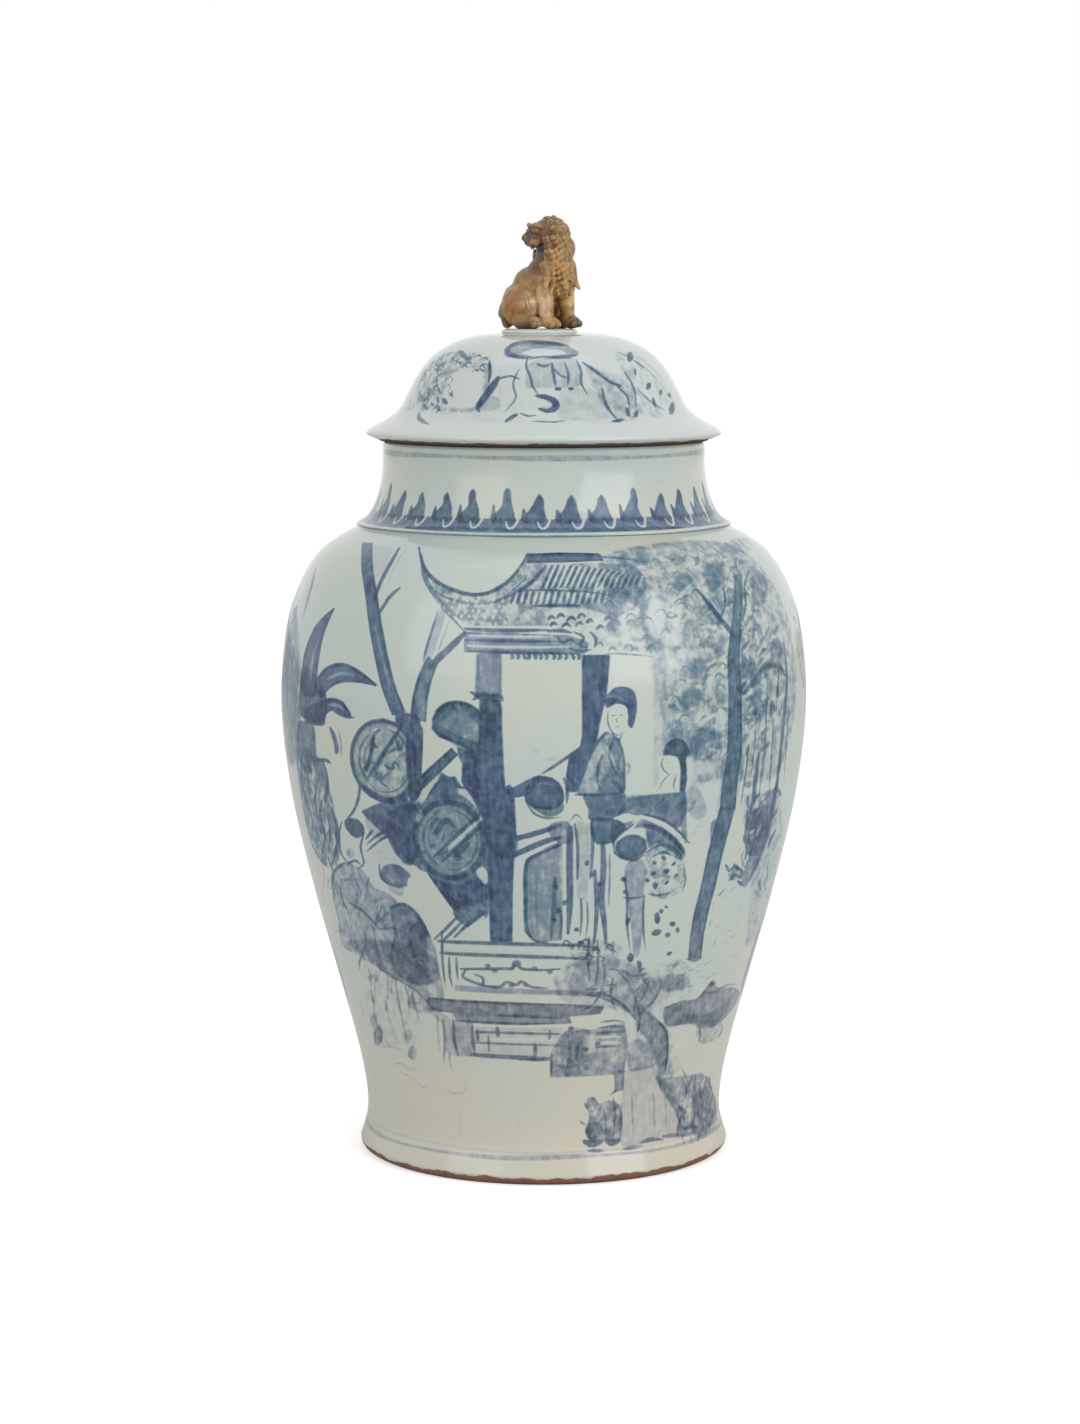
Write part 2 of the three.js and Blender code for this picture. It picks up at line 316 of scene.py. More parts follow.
# A flooded patch, a little darker where it dried along its edge; grain breaks it up into small touches
def wash(points, tone=0.4, hue=None, soft=0.9, pool=0.25, smooth=True, wipe=False, grain=None):
    line = curveThrough(points, 6, True) if smooth else np.array(points, float)
    length = np.linalg.norm(np.roll(line, -1, 0) - line, axis=1).sum()
    line = onSheet(evenly(line, min(1.2, length / 10), True))
    line = thinned(line, 0.12)
    addMark("wash", line, tone, hue, soft, pool=pool, wipe=wipe, grain=grain)


# A patch left white, or paled as far as its tone says
def blank(points, **settings):
    wash(points, tone=settings.pop("tone", 1.0), wipe=True, soft=settings.pop("soft", 0.7), **settings)


# A round or oval touch, leaning by an angle
def spot(centre, width, height=None, tone=0.8, hue=None, lean=0.0, **settings):
    height = height or width
    ring = []
    for i in range(8):
        angle = math.tau * i / 8
        a, b = 0.5 * width * math.cos(angle), 0.5 * height * math.sin(angle)
        ring.append((centre[0] + a * math.cos(lean) - b * math.sin(lean),
                     centre[1] + a * math.sin(lean) + b * math.cos(lean)))
    wash(ring, tone, hue, settings.pop("soft", 0.45), **settings)


# Points the brush at a side of the vase, or sets its first hue
def painter(**place):
    brush.update(place)


# Which way is left of a line at each of its points
def normalsOf(line, closed):
    ahead = np.roll(line, -1, 0) if closed else np.vstack([line[1:], line[-1:]])
    behind = np.roll(line, 1, 0) if closed else np.vstack([line[:1], line[:-1]])
    along = ahead - behind
    along /= np.maximum(np.linalg.norm(along, axis=1, keepdims=True), 1e-9)
    return np.stack([-along[:, 1], along[:, 0]], 1)


# The lines where a mark's tone starts and where it is full, which the mesh has to follow
def guideLines(mark):
    line, soft = mark["line"], mark["soft"]
    if mark["kind"] == "wash":
        side = normalsOf(line, True)
        return [(line + side * soft / 2, True), (line - side * soft / 2, True)]
    side = normalsOf(line, False)
    half = mark["half"][:, None]
    tip = (line[1] - line[0]) / max(np.linalg.norm(line[1] - line[0]), 1e-9)
    end = (line[-1] - line[-2]) / max(np.linalg.norm(line[-1] - line[-2]), 1e-9)
    reach = half + soft / 2
    outer = np.vstack([[line[0] - tip * reach[0]], line + side * reach, [line[-1] + end * reach[-1]],
                       (line - side * reach)[::-1]])
    core = half - soft / 2
    if core.max() < 0.12:
        return [(outer, True), (line, False)]
    core = np.maximum(core, 0.03)
    inner = np.vstack([line + side * core, (line - side * core)[::-1]])
    return [(outer, True), (inner, True)]


# How fully a mark covers each spot, from 0 to 1
def coverage(mark, line, spots):
    closed = mark["kind"] == "wash"
    start = line if closed else line[:-1]
    stop = np.roll(line, -1, 0) if closed else line[1:]
    span = stop - start
    length = np.maximum((span**2).sum(1), 1e-12)
    share = np.clip(((spots[:, None] - start) * span).sum(2) / length, 0, 1)
    gap = np.linalg.norm(spots[:, None] - (start + share[..., None] * span), axis=2)
    if not closed:
        half = mark["half"]
        gap = gap - (half[:-1] + share * (half[1:] - half[:-1]))
        return np.clip(0.5 - gap.min(1) / mark["soft"], 0, 1), None
    x, y = spots[:, :1], spots[:, 1:]
    rising = (start[:, 1] <= y) != (stop[:, 1] <= y)
    steep = np.where(np.abs(span[:, 1]) < 1e-12, 1e-12, span[:, 1])
    crossed = rising & (x < start[:, 0] + (y - start[:, 1]) / steep * span[:, 0])
    inside = crossed.sum(1) % 2 == 1
    depth = np.where(inside, gap.min(1), -gap.min(1))
    return np.clip(depth / mark["soft"] + 0.5, 0, 1), depth


# Cuts every mark into the unrolled skin and paints its tone at the points of the mesh
def paintedSkin(sheet, columns, rows):
    overlap, margin, weld, poolWidth = 3, 0.4, 0.002, 1.4  # mm
    turn = math.tau * sheet["paper"]
    across = np.linspace(-turn / 2, turn / 2, columns + 1)
    points = [np.stack(np.meshgrid(across, rows), 2).reshape(-1, 2)]
    edges = []
    count = len(points[0])
    wide = columns + 1
    for row in range(len(rows)):
        if row in (0, len(rows) - 1) or rows[row] in sheet.get("joints", ()):
            edges += [(row * wide + i, row * wide + i + 1) for i in range(columns)]
    for row in range(len(rows) - 1):
        edges += [(row * wide, (row + 1) * wide), (row * wide + columns, (row + 1) * wide + columns)]
    copies = []
    for mark in sheet["marks"]:
        low, high = mark["line"][:, 0].min(), mark["line"][:, 0].max()
        for shift in (-turn, 0, turn):
            if high + shift > -turn / 2 - overlap and low + shift < turn / 2 + overlap:
                moved = {**mark, "line": mark["line"] + (shift, 0)}
                copies.append(moved)
                for guide, closed in guideLines(moved):
                    guide = guide.copy()
                    guide[:, 1] = np.clip(guide[:, 1], rows[0] + margin, rows[-1] - margin)
                    points.append(guide)
                    edges += [(count + i, count + i + 1) for i in range(len(guide) - 1)]
                    if closed:
                        edges.append((count + len(guide) - 1, count))
                    count += len(guide)
    flat = [Vector(p) for p in np.vstack(points).tolist()]
    spots, _, faces, *_ = delaunay_2d_cdt(flat, edges, [], 0, weld, False)
    spots, faces = np.array([tuple(s) for s in spots]), np.array(faces)
    faces = faces[np.abs(spots[faces].mean(1)[:, 0]) < turn / 2 - 1e-4]

    # Each mark in turn is laid over what is there, at the spots within its reach
    order = np.argsort(spots[:, 0])
    sortedAcross = spots[order, 0]
    ink, grain = np.zeros(len(spots)), np.zeros(len(spots))
    hue = np.full(len(spots), 0.5)
    for mark in copies:
        line = mark["line"]
        reach = mark["soft"] + (mark["half"].max() if "half" in mark else 0)
        low, high = line.min(0) - reach, line.max(0) + reach
        near = order[np.searchsorted(sortedAcross, low[0]) : np.searchsorted(sortedAcross, high[0])]
        near = near[(spots[near, 1] > low[1]) & (spots[near, 1] < high[1])]
        if not len(near):
            continue
        cover, depth = coverage(mark, line, spots[near])
        if mark["wipe"]:
            ink[near] *= 1 - cover * mark["tone"]
            grain[near] *= 1 - cover * mark["tone"]
            continue
        if mark["grain"] is not None:
            grain[near] += (mark["grain"] - grain[near]) * cover
        tone = mark["tone"]
        if depth is not None and mark["pool"]:
            tone = np.minimum(tone * (1 + mark["pool"] * np.exp(-np.maximum(depth, 0) / poolWidth)), 1)
        laid = cover * tone
        mixed = 1 - (1 - ink[near]) * (1 - laid)
        hue[near] += (mark["hue"] - hue[near]) * laid / np.maximum(mixed, 1e-6)
        ink[near] = mixed
    return {"spots": spots, "faces": faces, "paint": np.stack([ink, hue, grain], 1), "turn": turn}


# The right edge of the paper handed over to its left edge, which it meets at the back
def seamClosed(spots, seam, weld=0.002):
    left = np.where(np.abs(spots[:, 0] + seam) < weld)[0]
    joined = np.arange(len(spots))
    for i in np.where(np.abs(spots[:, 0] - seam) < weld)[0]:
        nearest = left[np.argmin(np.abs(spots[left, 1] - spots[i, 1]))]
        if abs(spots[nearest, 1] - spots[i, 1]) < 0.02:
            joined[i] = nearest
    return joined


# Where spots on the paper lie on the turned skin, and which way it faces there
def rolledUp(sheet, spots, step=0.4):
    angle, run = spots[:, 0] / sheet["paper"], spots[:, 1]
    here, before, after = ([np.interp(run + shift, sheet["run"], sheet[key]) for key in ("radius", "height")]
                           for shift in (0, -step, step))
    outward, upward = after[0] - before[0], after[1] - before[1]
    length = np.maximum(np.hypot(outward, upward), 1e-9)
    outward, upward = outward / length, upward / length
    places = np.stack([here[0] * np.sin(angle), -here[0] * np.cos(angle), here[1]], 1)
    return places, np.stack([upward * np.sin(angle), -upward * np.cos(angle), -outward], 1)


# The points of the skin along one of its ends, in order, and the angle of each
def endOfSkin(spots, joined, at, paperRadius):
    row = np.where(np.abs(spots[:, 1] - at) < 1e-3)[0]
    row = row[np.argsort(spots[row, 0])]
    angles = {joined[i]: spots[i, 0] / paperRadius for i in row[::-1]}
    return list(dict.fromkeys(joined[i] for i in row)), angles


# Triangles between two rings, whose points may differ in number, and where their corners are to be baked
def stitched(lower, upper, turned, lowerV, upperV):
    faces, marks = [], []
    i = j = 0
    lowerTurn = [turned[k] for k in lower] + [math.pi]
    upperTurn = [turned[k] for k in upper] + [math.pi]
    while i < len(lower) or j < len(upper):
        a, b = lower[i % len(lower)], upper[j % len(upper)]
        nextLower = lowerTurn[i + 1] if i < len(lower) else math.inf
        nextUpper = upperTurn[j + 1] if j < len(upper) else math.inf
        if nextLower <= nextUpper:
            faces.append((a, lower[(i + 1) % len(lower)], b))
            marks += [(lowerTurn[i], lowerV), (nextLower, lowerV), (upperTurn[j], upperV)]
            i += 1
        else:
            faces.append((a, upper[(j + 1) % len(upper)], b))
            marks += [(lowerTurn[i], lowerV), (nextUpper, upperV), (upperTurn[j], upperV)]
            j += 1
    flat = np.array(marks, float)
    return np.array(faces), np.stack([flat[:, 0] / math.tau + 0.5, flat[:, 1]], 1)


# The fan of triangles from a ring to a pole on the axis
def fanned(ring, pole, upwards, ringV, poleV):
    count = len(ring)
    faces, marks = [], []
    for i in range(count):
        first, last = (i, i + 1) if upwards else (i + 1, i)
        faces.append((ring[first % count], ring[last % count], pole))
        marks += [(first / count, ringV), (last / count, ringV), ((i + 0.5) / count, poleV)]
    return np.array(faces), np.array(marks, float)


# A mesh with its own normals, its layout for baking, and the paint at its points
def skinObject(name, places, normals, corners, uvs, paint, material):
    mesh = bpy.data.meshes.new(name)
    mesh.vertices.add(len(places))
    mesh.vertices.foreach_set("co", (places * millimetre).ravel())
    mesh.loops.add(corners.size)
    mesh.loops.foreach_set("vertex_index", corners.ravel().astype(np.int32))
    mesh.polygons.add(len(corners))
    mesh.polygons.foreach_set("loop_start", np.arange(0, corners.size, 3, dtype=np.int32))
    mesh.update(calc_edges=True)
    mesh.polygons.foreach_set("use_smooth", np.ones(len(corners), bool))
    mesh.uv_layers.new(name="OFBake").data.foreach_set("uv", uvs.ravel())
    for column, channel in zip(paint.T, ("ink", "hue", "grain")):
        values = np.ascontiguousarray(column)
        mesh.attributes.new(channel, "FLOAT", "POINT").data.foreach_set("value", values)
    mesh.normals_split_custom_set_from_vertices(normals)
    mesh.materials.append(material)
    print(name, len(corners), "triangles")
    return addObject(name, mesh)


# A closed turned piece: a stretch of the painted skin, and plain rings that go on from both of its ends
def shellPiece(name, sheet, skin, low, high, ringsBelow, ringsAbove, columns, material):
    spots, faces = skin["spots"], skin["faces"]
    middle = spots[faces][:, :, 1].mean(1)
    used, faces = np.unique(faces[(middle > low) & (middle < high)], return_inverse=True)
    faces, spots = faces.reshape(-1, 3), spots[used]
    joined = seamClosed(spots, skin["turn"] / 2)
    onPaper = np.stack([spots[:, 0] / skin["turn"] + 0.5, (spots[:, 1] - low) / (high - low)], 1)
    corners, uvs = [joined[faces]], [onPaper[faces].reshape(-1, 2)]
    places, normals = ([part] for part in rolledUp(sheet, spots))
    unpainted = np.array([[0, 0.5, 0]])
    paints = [skin["paint"][used]]
    total = len(spots)
    plainShare = 0.15  # how far the plain rings reach past the skin in the layout for baking
    around = np.linspace(-math.pi, math.pi, columns, endpoint=False)
    for rings, at, upwards in ((ringsBelow, low, False), (ringsAbove, high, True)):
        if not rings:
            continue
        ring, turned = endOfSkin(spots, joined, at, sheet["paper"])
        outline = np.array(rings, float)
        along = np.gradient(outline, axis=0) * (1 if upwards else -1)
        along /= np.maximum(np.linalg.norm(along, axis=1, keepdims=True), 1e-9)
        shares = runAlong(outline) / max(runAlong(outline)[-1], 1e-9)
        ringV = 1.0 if upwards else 0.0
        for (radius, height), (outward, upward), share in zip(outline, along, shares):
            nextV = 1.0 + plainShare * share if upwards else -plainShare * share
            if radius < 1e-6:
                made = fanned(ring, total, upwards, ringV, nextV)
                places.append(np.array([[0, 0, height]]))
                normals.append(np.array([[0, 0, 1.0 if outward < 0 else -1.0]]))
                nextRing = [total]
            else:
                places.append(np.stack([radius * np.sin(around), -radius * np.cos(around),
                                        np.full(columns, height)], 1))
                normals.append(np.stack([upward * np.sin(around), -upward * np.cos(around),
                                         np.full(columns, -outward)], 1))
                nextRing = list(range(total, total + columns))
                turned.update(zip(nextRing, around.tolist()))
                if upwards:
                    made = stitched(ring, nextRing, turned, ringV, nextV)
                else:
                    made = stitched(nextRing, ring, turned, nextV, ringV)
            corners.append(made[0])
            uvs.append(made[1])
            paints.append(np.repeat(unpainted, len(nextRing), 0))
            total += len(nextRing)
            ring, ringV = nextRing, nextV
        if not ringsBelow:  # a section without a bottom: its inner wall comes down to the skin's lower end
            end, endTurned = endOfSkin(spots, joined, low, sheet["paper"])
            made = stitched(ring, end, {**turned, **endTurned}, ringV, ringV + 0.02)
            corners.append(made[0])
            uvs.append(made[1])

    corners, uvs = np.vstack(corners), np.vstack(uvs)
    uvs = (uvs - uvs.min(0)) / (uvs.max(0) - uvs.min(0))
    kept, corners = np.unique(corners, return_inverse=True)
    corners = corners.reshape(-1, 3)
    whole = (corners != np.roll(corners, 1, 1)).all(1)
    uvs = uvs.reshape(-1, 3, 2)[whole].reshape(-1, 2)
    places, normals, paint = (np.vstack(part)[kept] for part in (places, normals, paints))
    return skinObject(name, places, normals, corners[whole], uvs, paint, material)


# Finishes

# Soft blotches about size mm across, which run from first to last as the noise rises from low to high
def blotches(tree, place, size, low, high, first=0.0, last=1.0, detail=2.0, rough=0.5):
    cloud = addNode(tree, "ShaderNodeTexNoise", {"Vector": place, "Scale": 1 / (size * millimetre),
                                                 "Detail": detail, "Roughness": rough})
    return addNode(tree, "ShaderNodeMapRange", {"Value": cloud, "From Min": low, "From Max": high,
                                                "To Min": first, "To Max": last},
                   interpolation_type="SMOOTHSTEP")


# Shades laid over a colour one after another, each with its own share
def layered(tree, colour, layers):
    for share, shade in layers:
        over = linear(shade) if isinstance(shade, str) else shade
        colour = addNode(tree, "ShaderNodeMix", {0: share, 6: colour, 7: over}, 2, data_type="RGBA")
    return colour


glaze = {
    "ground": "#bac5bd",
    "groundCool": "#b6c0c6",
    # the warm ground near the foot is also paler than the rest: painted light, to make up for the light that
    # falls off low down
    "groundWarmAndPaintedLight": "#cdc6b5",
    "warmAndPaintedLightBelow": 75,  # mm: how far up from the foot the ground runs warmer, and paler as painted light
    "blueStops": [(0, "#b0b8bc"), (0.3, "#8795a4"), (0.58, "#566a84"), (0.8, "#3f5573"), (1, "#293b5b")],
    "tealStops": [(0, "#a9b5b1"), (0.3, "#7c9096"), (0.58, "#50707f"), (0.8, "#375566"), (1, "#213b49")],
    "greyStops": [(0, "#bbbab8"), (0.3, "#9fa2a5"), (0.58, "#70777f"), (0.8, "#4f5862"), (1, "#363e4a")],
    "greyBelow": 150,  # mm: low on the body the cobalt fired thin and greyish
    "grainDepth": 0.3,  # how strongly foliage and rocks break up into small touches
    "roughness": 0.13,
    "rippleDepth": 0.05,  # mm
    "footEdge": 4.1,  # mm: glaze was wiped off below this
    "footWaver": 1.0,
    "clay": "#95705c",
    "clayDarkAndShade": "#603c2e",
}


# Grey white porcelain painted in cobalt under a clear, fired glaze. It gives the eye a ground that drifts
# warm and cool, and near the foot paler, as painted light; paint that pools and breaks up; a sharp clear
# reflection; and bare clay at the wiped edge, on the cover darkened with painted shade under its rim.
def glazedPorcelain(name, values, warmthAndPaintedLight=0.35):
    made, tree = newMaterial(name)
    place = addNode(tree, "ShaderNodeTexCoord", out="Object")
    height = addNode(tree, "ShaderNodeSeparateXYZ", {0: place}, "Z")
    ink, hue, grain = (addNode(tree, "ShaderNodeAttribute", out="Fac", attribute_name=channel)
                       for channel in ("ink", "hue", "grain"))
    warmAndPaintedLightBelow, greyBelow = values["warmAndPaintedLightBelow"], values["greyBelow"]
    lowDown, highUp, dull = (
        addNode(tree, "ShaderNodeMapRange", {"Value": height, "From Min": start * millimetre,
                                             "From Max": end * millimetre, "To Max": most},
                interpolation_type="SMOOTHSTEP")
        for start, end, most in ((1.6 * warmAndPaintedLightBelow, 0, 1), (warmAndPaintedLightBelow, 2 * warmAndPaintedLightBelow, 1),
                                 (greyBelow, 0.6 * greyBelow, 0.75)))

    # Near the foot the ground turns warmer, and paler too, which is painted light for the dimmer light there
    warmAndPaintedLight = addNode(tree, "ShaderNodeMath", {0: blotches(tree, place, 60, 0.42, 0.68), 1: warmthAndPaintedLight},
                   operation="MULTIPLY")
    lowDown = addNode(tree, "ShaderNodeMath", {0: lowDown, 1: 0.75}, operation="MULTIPLY")
    warmAndPaintedLight = addNode(tree, "ShaderNodeMath", {0: warmAndPaintedLight, 1: lowDown}, use_clamp=True)
    cool = addNode(tree, "ShaderNodeMath", {0: blotches(tree, place, 45, 0.5, 0.75, 0, 0.6, 1, 0.4),
                                            1: highUp}, operation="MULTIPLY")
    ground = layered(tree, linear(values["ground"]),
                     ((warmAndPaintedLight, values["groundWarmAndPaintedLight"]), (cool, values["groundCool"])))

    # How much cobalt lies at a spot: the mark's own, pools and streaks in it, and small touches in foliage
    drawn = addNode(tree, "ShaderNodeMapping", {"Vector": place, "Scale": (1.0, 1.0, 0.35)})
    load = addNode(tree, "ShaderNodeMath", {0: blotches(tree, place, 5, 0.25, 0.75, 0.78, 1.16, 3, 0.55),
                                            1: blotches(tree, drawn, 2.2, 0.3, 0.7, -0.12, 0.12, 2, 0.6)})
    touches = addNode(tree, "ShaderNodeMath", {0: blotches(tree, place, 4.6, 0.38, 0.62, -0.5, 0.5, 3, 0.6),
                                               1: blotches(tree, place, 9, 0.35, 0.65, -0.3, 0.3)})
    broken = addNode(tree, "ShaderNodeMath", {0: grain, 1: touches}, operation="MULTIPLY")
    broken = addNode(tree, "ShaderNodeMath", {0: broken, 1: values["grainDepth"]}, operation="MULTIPLY")
    amount = addNode(tree, "ShaderNodeMath", {0: ink, 1: load}, operation="MULTIPLY")
    amount = addNode(tree, "ShaderNodeMath", {0: amount, 1: broken}, use_clamp=True)
    shades = []
    for stops in (values["tealStops"], values["blueStops"], values["greyStops"]):
        shades.append(addNode(tree, "ShaderNodeValToRGB", {0: amount}))
        points = shades[-1].node.color_ramp.elements
        while len(points) < len(stops):
            points.new(0.5)
        for point, (at, shade) in zip(points, stops):
            point.position = at
            point.color = linear(shade)
    greenish, purplish, greyish = shades
    leaning = addNode(tree, "ShaderNodeMath", {0: hue, 1: blotches(tree, place, 32, 0.35, 0.65, -0.28, 0.28)},
                      use_clamp=True)
    paint = layered(tree, greenish, ((leaning, purplish), (dull, greyish)))
    shown = addNode(tree, "ShaderNodeMapRange", {"Value": amount, "From Max": 0.4},
                    interpolation_type="SMOOTHSTEP")
    specks = blotches(tree, place, 1.6, 0.74, 0.8, 0, 0.35, 1)

    waver = values["footWaver"] * millimetre
    ragged = addNode(tree, "ShaderNodeMath", {0: height,
                                              1: blotches(tree, place, 9, 0.2, 0.8, -waver, waver)})
    edge, fade = values["footEdge"], 0.4
    bare = addNode(tree, "ShaderNodeMapRange", {"Value": ragged, "From Min": (edge + fade) * millimetre,
                                                "From Max": (edge - fade) * millimetre},
                   interpolation_type="SMOOTHSTEP")
    mottled = addNode(tree, "ShaderNodeTexNoise", {"Vector": place, "Scale": 1 / (6 * millimetre),
                                                   "Detail": 4, "Roughness": 0.65})
    # Bare clay in two mottled colours; the cover's darker pair paints the shade under its rim
    clay = layered(tree, linear(values["clayDarkAndShade"]), ((mottled, values["clay"]),))
    surface = layered(tree, ground, ((shown, paint), (specks, "#7b7f78"), (bare, clay)))
    roughness = addNode(tree, "ShaderNodeMapRange", {"Value": bare, "To Min": values["roughness"],
                                                     "To Max": 0.85}, interpolation_type="SMOOTHSTEP")
    ripple = addNode(tree, "ShaderNodeTexNoise", {"Vector": place, "Scale": 1 / (7 * millimetre)})
    ripple = addNode(tree, "ShaderNodeMath", {0: ripple, 1: values["rippleDepth"] * millimetre},
                     operation="MULTIPLY")
    bump = addNode(tree, "ShaderNodeBump", {"Height": ripple, "Distance": 1.0, "Strength": 1.0})
    shader = addNode(tree, "ShaderNodeBsdfPrincipled", {"Base Color": surface, "Roughness": roughness,
                                                        "IOR": 1.5, "Normal": bump})
    addNode(tree, "ShaderNodeOutputMaterial", {"Surface": shader})
    return made


vaseGlaze = glazedPorcelain("cobalt_painted_porcelain_glaze", glaze)


# The painted decoration of the vase

teal, plum = 0.1, 1.0  # hues of the cobalt, from greenish to purplish


# Steps all the way round the paper and a little past its seam
def roundPaper(steps, past=2.5):
    half = math.pi * brush["sheet"]["paper"] + past
    return np.linspace(-half, half, steps)


# A painted ring round the vase between two heights
def ringBand(low, high, tone, hue, soft=0.8):
    sheet, across = brush["sheet"], roundPaper(140)
    bottom, top = np.interp((low, high), sheet["height"], sheet["run"])
    line = np.vstack([np.stack([across, np.full(len(across), bottom)], 1),
                      np.stack([across[::-1], np.full(len(across), top)], 1)])
    addMark("wash", line, tone, hue, soft, pool=0.0, wipe=False)


# A line drawn by turning the vase against the brush, which wavers a little
def ringLine(height, width, tone, hue, waver=0.25):
    sheet, across = brush["sheet"], roundPaper(200)
    run = np.interp(height, sheet["height"], sheet["run"])
    angle = across / sheet["paper"]
    line = np.stack([across, run + waver * (np.sin(3 * angle + height) + 0.5 * np.sin(7 * angle))], 1)
    thick = 0.5 * width * (1 + 0.25 * np.sin(5 * angle + 2 * height))
    addMark("stroke", line, tone, hue, 0.7, half=thick, wipe=False)


def strokes(lines, width, tone, hue=None, **more):
    for points in lines:
        stroke(points, width, tone, hue, **more)


# A trunk or branch in body colour between two darker lines
def limb(points, first, last, tone=0.55, hue=0.45, outline=0.7):
    line = evenly(curveThrough(points, 7), 2.5)
    side = normalsOf(line, False) * np.linspace(first, last, len(line))[:, None] / 2
    left, right = line + side, line - side
    wash(np.vstack([left, right[::-1]]), tone, hue, soft=0.9, smooth=False, grain=0.25)
    stroke(left, 1.4, outline, hue * 0.6, tips=(0.7, 0.6))
    stroke(right, 1.2, outline * 0.8, hue * 0.6, tips=(0.7, 0.6))


# Chance places inside an area
def scatter(area, count):
    corners = np.array(area, float)
    low, high = corners.min(0), corners.max(0)
    found = []
    while len(found) < count:
        x, z = dice.uniform(low[0], high[0]), dice.uniform(low[1], high[1])
        inside = False
        for (ax, az), (bx, bz) in zip(corners, np.roll(corners, -1, 0)):
            if (az > z) != (bz > z) and x < ax + (z - az) / (bz - az) * (bx - ax):
                inside = not inside
        if inside:
            found.append((x, z))
    return found


# Short touches of the brush, all leaning about the same way
def dabs(area, count, size, tone, hue=None, lean=0, wipe=False, slim=0.45):
    for x, z in scatter(area, count):
        reach = size * dice.uniform(0.6, 1.4)
        turned = lean + dice.gauss(0, 0.45)
        dx, dz = 0.5 * reach * math.cos(turned), 0.5 * reach * math.sin(turned)
        bow = dice.uniform(-0.15, 0.15) * reach
        stroke([(x - dx, z - dz), (x - bow * math.sin(turned), z + bow * math.cos(turned)),
            (x + dx, z + dz)], size * slim * dice.uniform(0.8, 1.2), tone * dice.uniform(0.7, 1.2), hue,
            tips=(0.6, 0.4), wipe=wipe)


# Small arches that stand for foliage in the distance
def scallops(area, count, size, tone, hue):
    for x, z in scatter(area, count):
        reach = size * dice.uniform(0.7, 1.3)
        stroke([(x - reach / 2, z - reach * 0.2), (x - reach * 0.2, z + reach * 0.25), (x + reach * 0.25,
            z + reach * 0.2), (x + reach / 2, z - reach * 0.25)], 1, tone * dice.uniform(0.7, 1.2), hue)


flames = {"count": 33, "low": 326.4, "base": 333.5, "turn": -1.7}


# A row of flame tongues round the neck, each with a smaller one beside it and a hook left white in its root
def neckFlames(values):
    ringLine(361.8, 2.6, 0.27, 0, 0.15)
    ringBand(values["low"], values["base"] - 1.2, 0.58, 0.8, 1.2)
    for k in range(values["count"]):
        turned = values["turn"] + 360 * k / values["count"] + dice.uniform(-0.7, 0.7)
        tall = dice.uniform(-3.4, 2.2)
        lean = dice.uniform(-1.2, 1.6)
        drift = 0.45 * math.sin(math.radians(turned) * 1.6 + 0.9)
        hue = min(1, max(0, 0.5 + drift + dice.uniform(-0.2, 0.2)))
        painter(facing=turned, hue=hue)
        tone = dice.uniform(0.5, 0.72)
        wash([(-6.8, 330.5), (-6.2, 334.6), (-4.2, 336.4), (-2.6, 339), (-1.9 + lean, 342),
            (-1.6 + lean, 345 + tall), (0.1 + lean, 346.8 + tall), (1.8 + lean, 345 + tall),
            (2.3 + lean, 341), (3, 337.5), (3.9, 334), (4, 330.5)], tone, soft=1.4)
        stroke([(0.1 + lean, 346 + tall), (0.3 + lean, 343), (0.2, 339)], 1.9, 0.4, 0.1)
        wash([(-8.1, 331.5), (-7.8, 335), (-7.5, 338.8 + tall * 0.6), (-6.6, 338.9 + tall * 0.6),
            (-5.9, 335.6), (-5, 333.4), (-5, 331)], tone, soft=1)
        stroke([(5.8, 338), (6.1, 333.8), (5.4, 330.2), (3.5, 328), (1.2, 328.4), (0, 331)], 1.7, 0.8,
            tips=(0.5, 0.6), wipe=True)
    painter(facing=0, hue=0.5)
    ringLine(324.4, 1.7, 0.4, 0.15)
    ringLine(326.3, 0.9, 0.5, 0.4, 0.3)


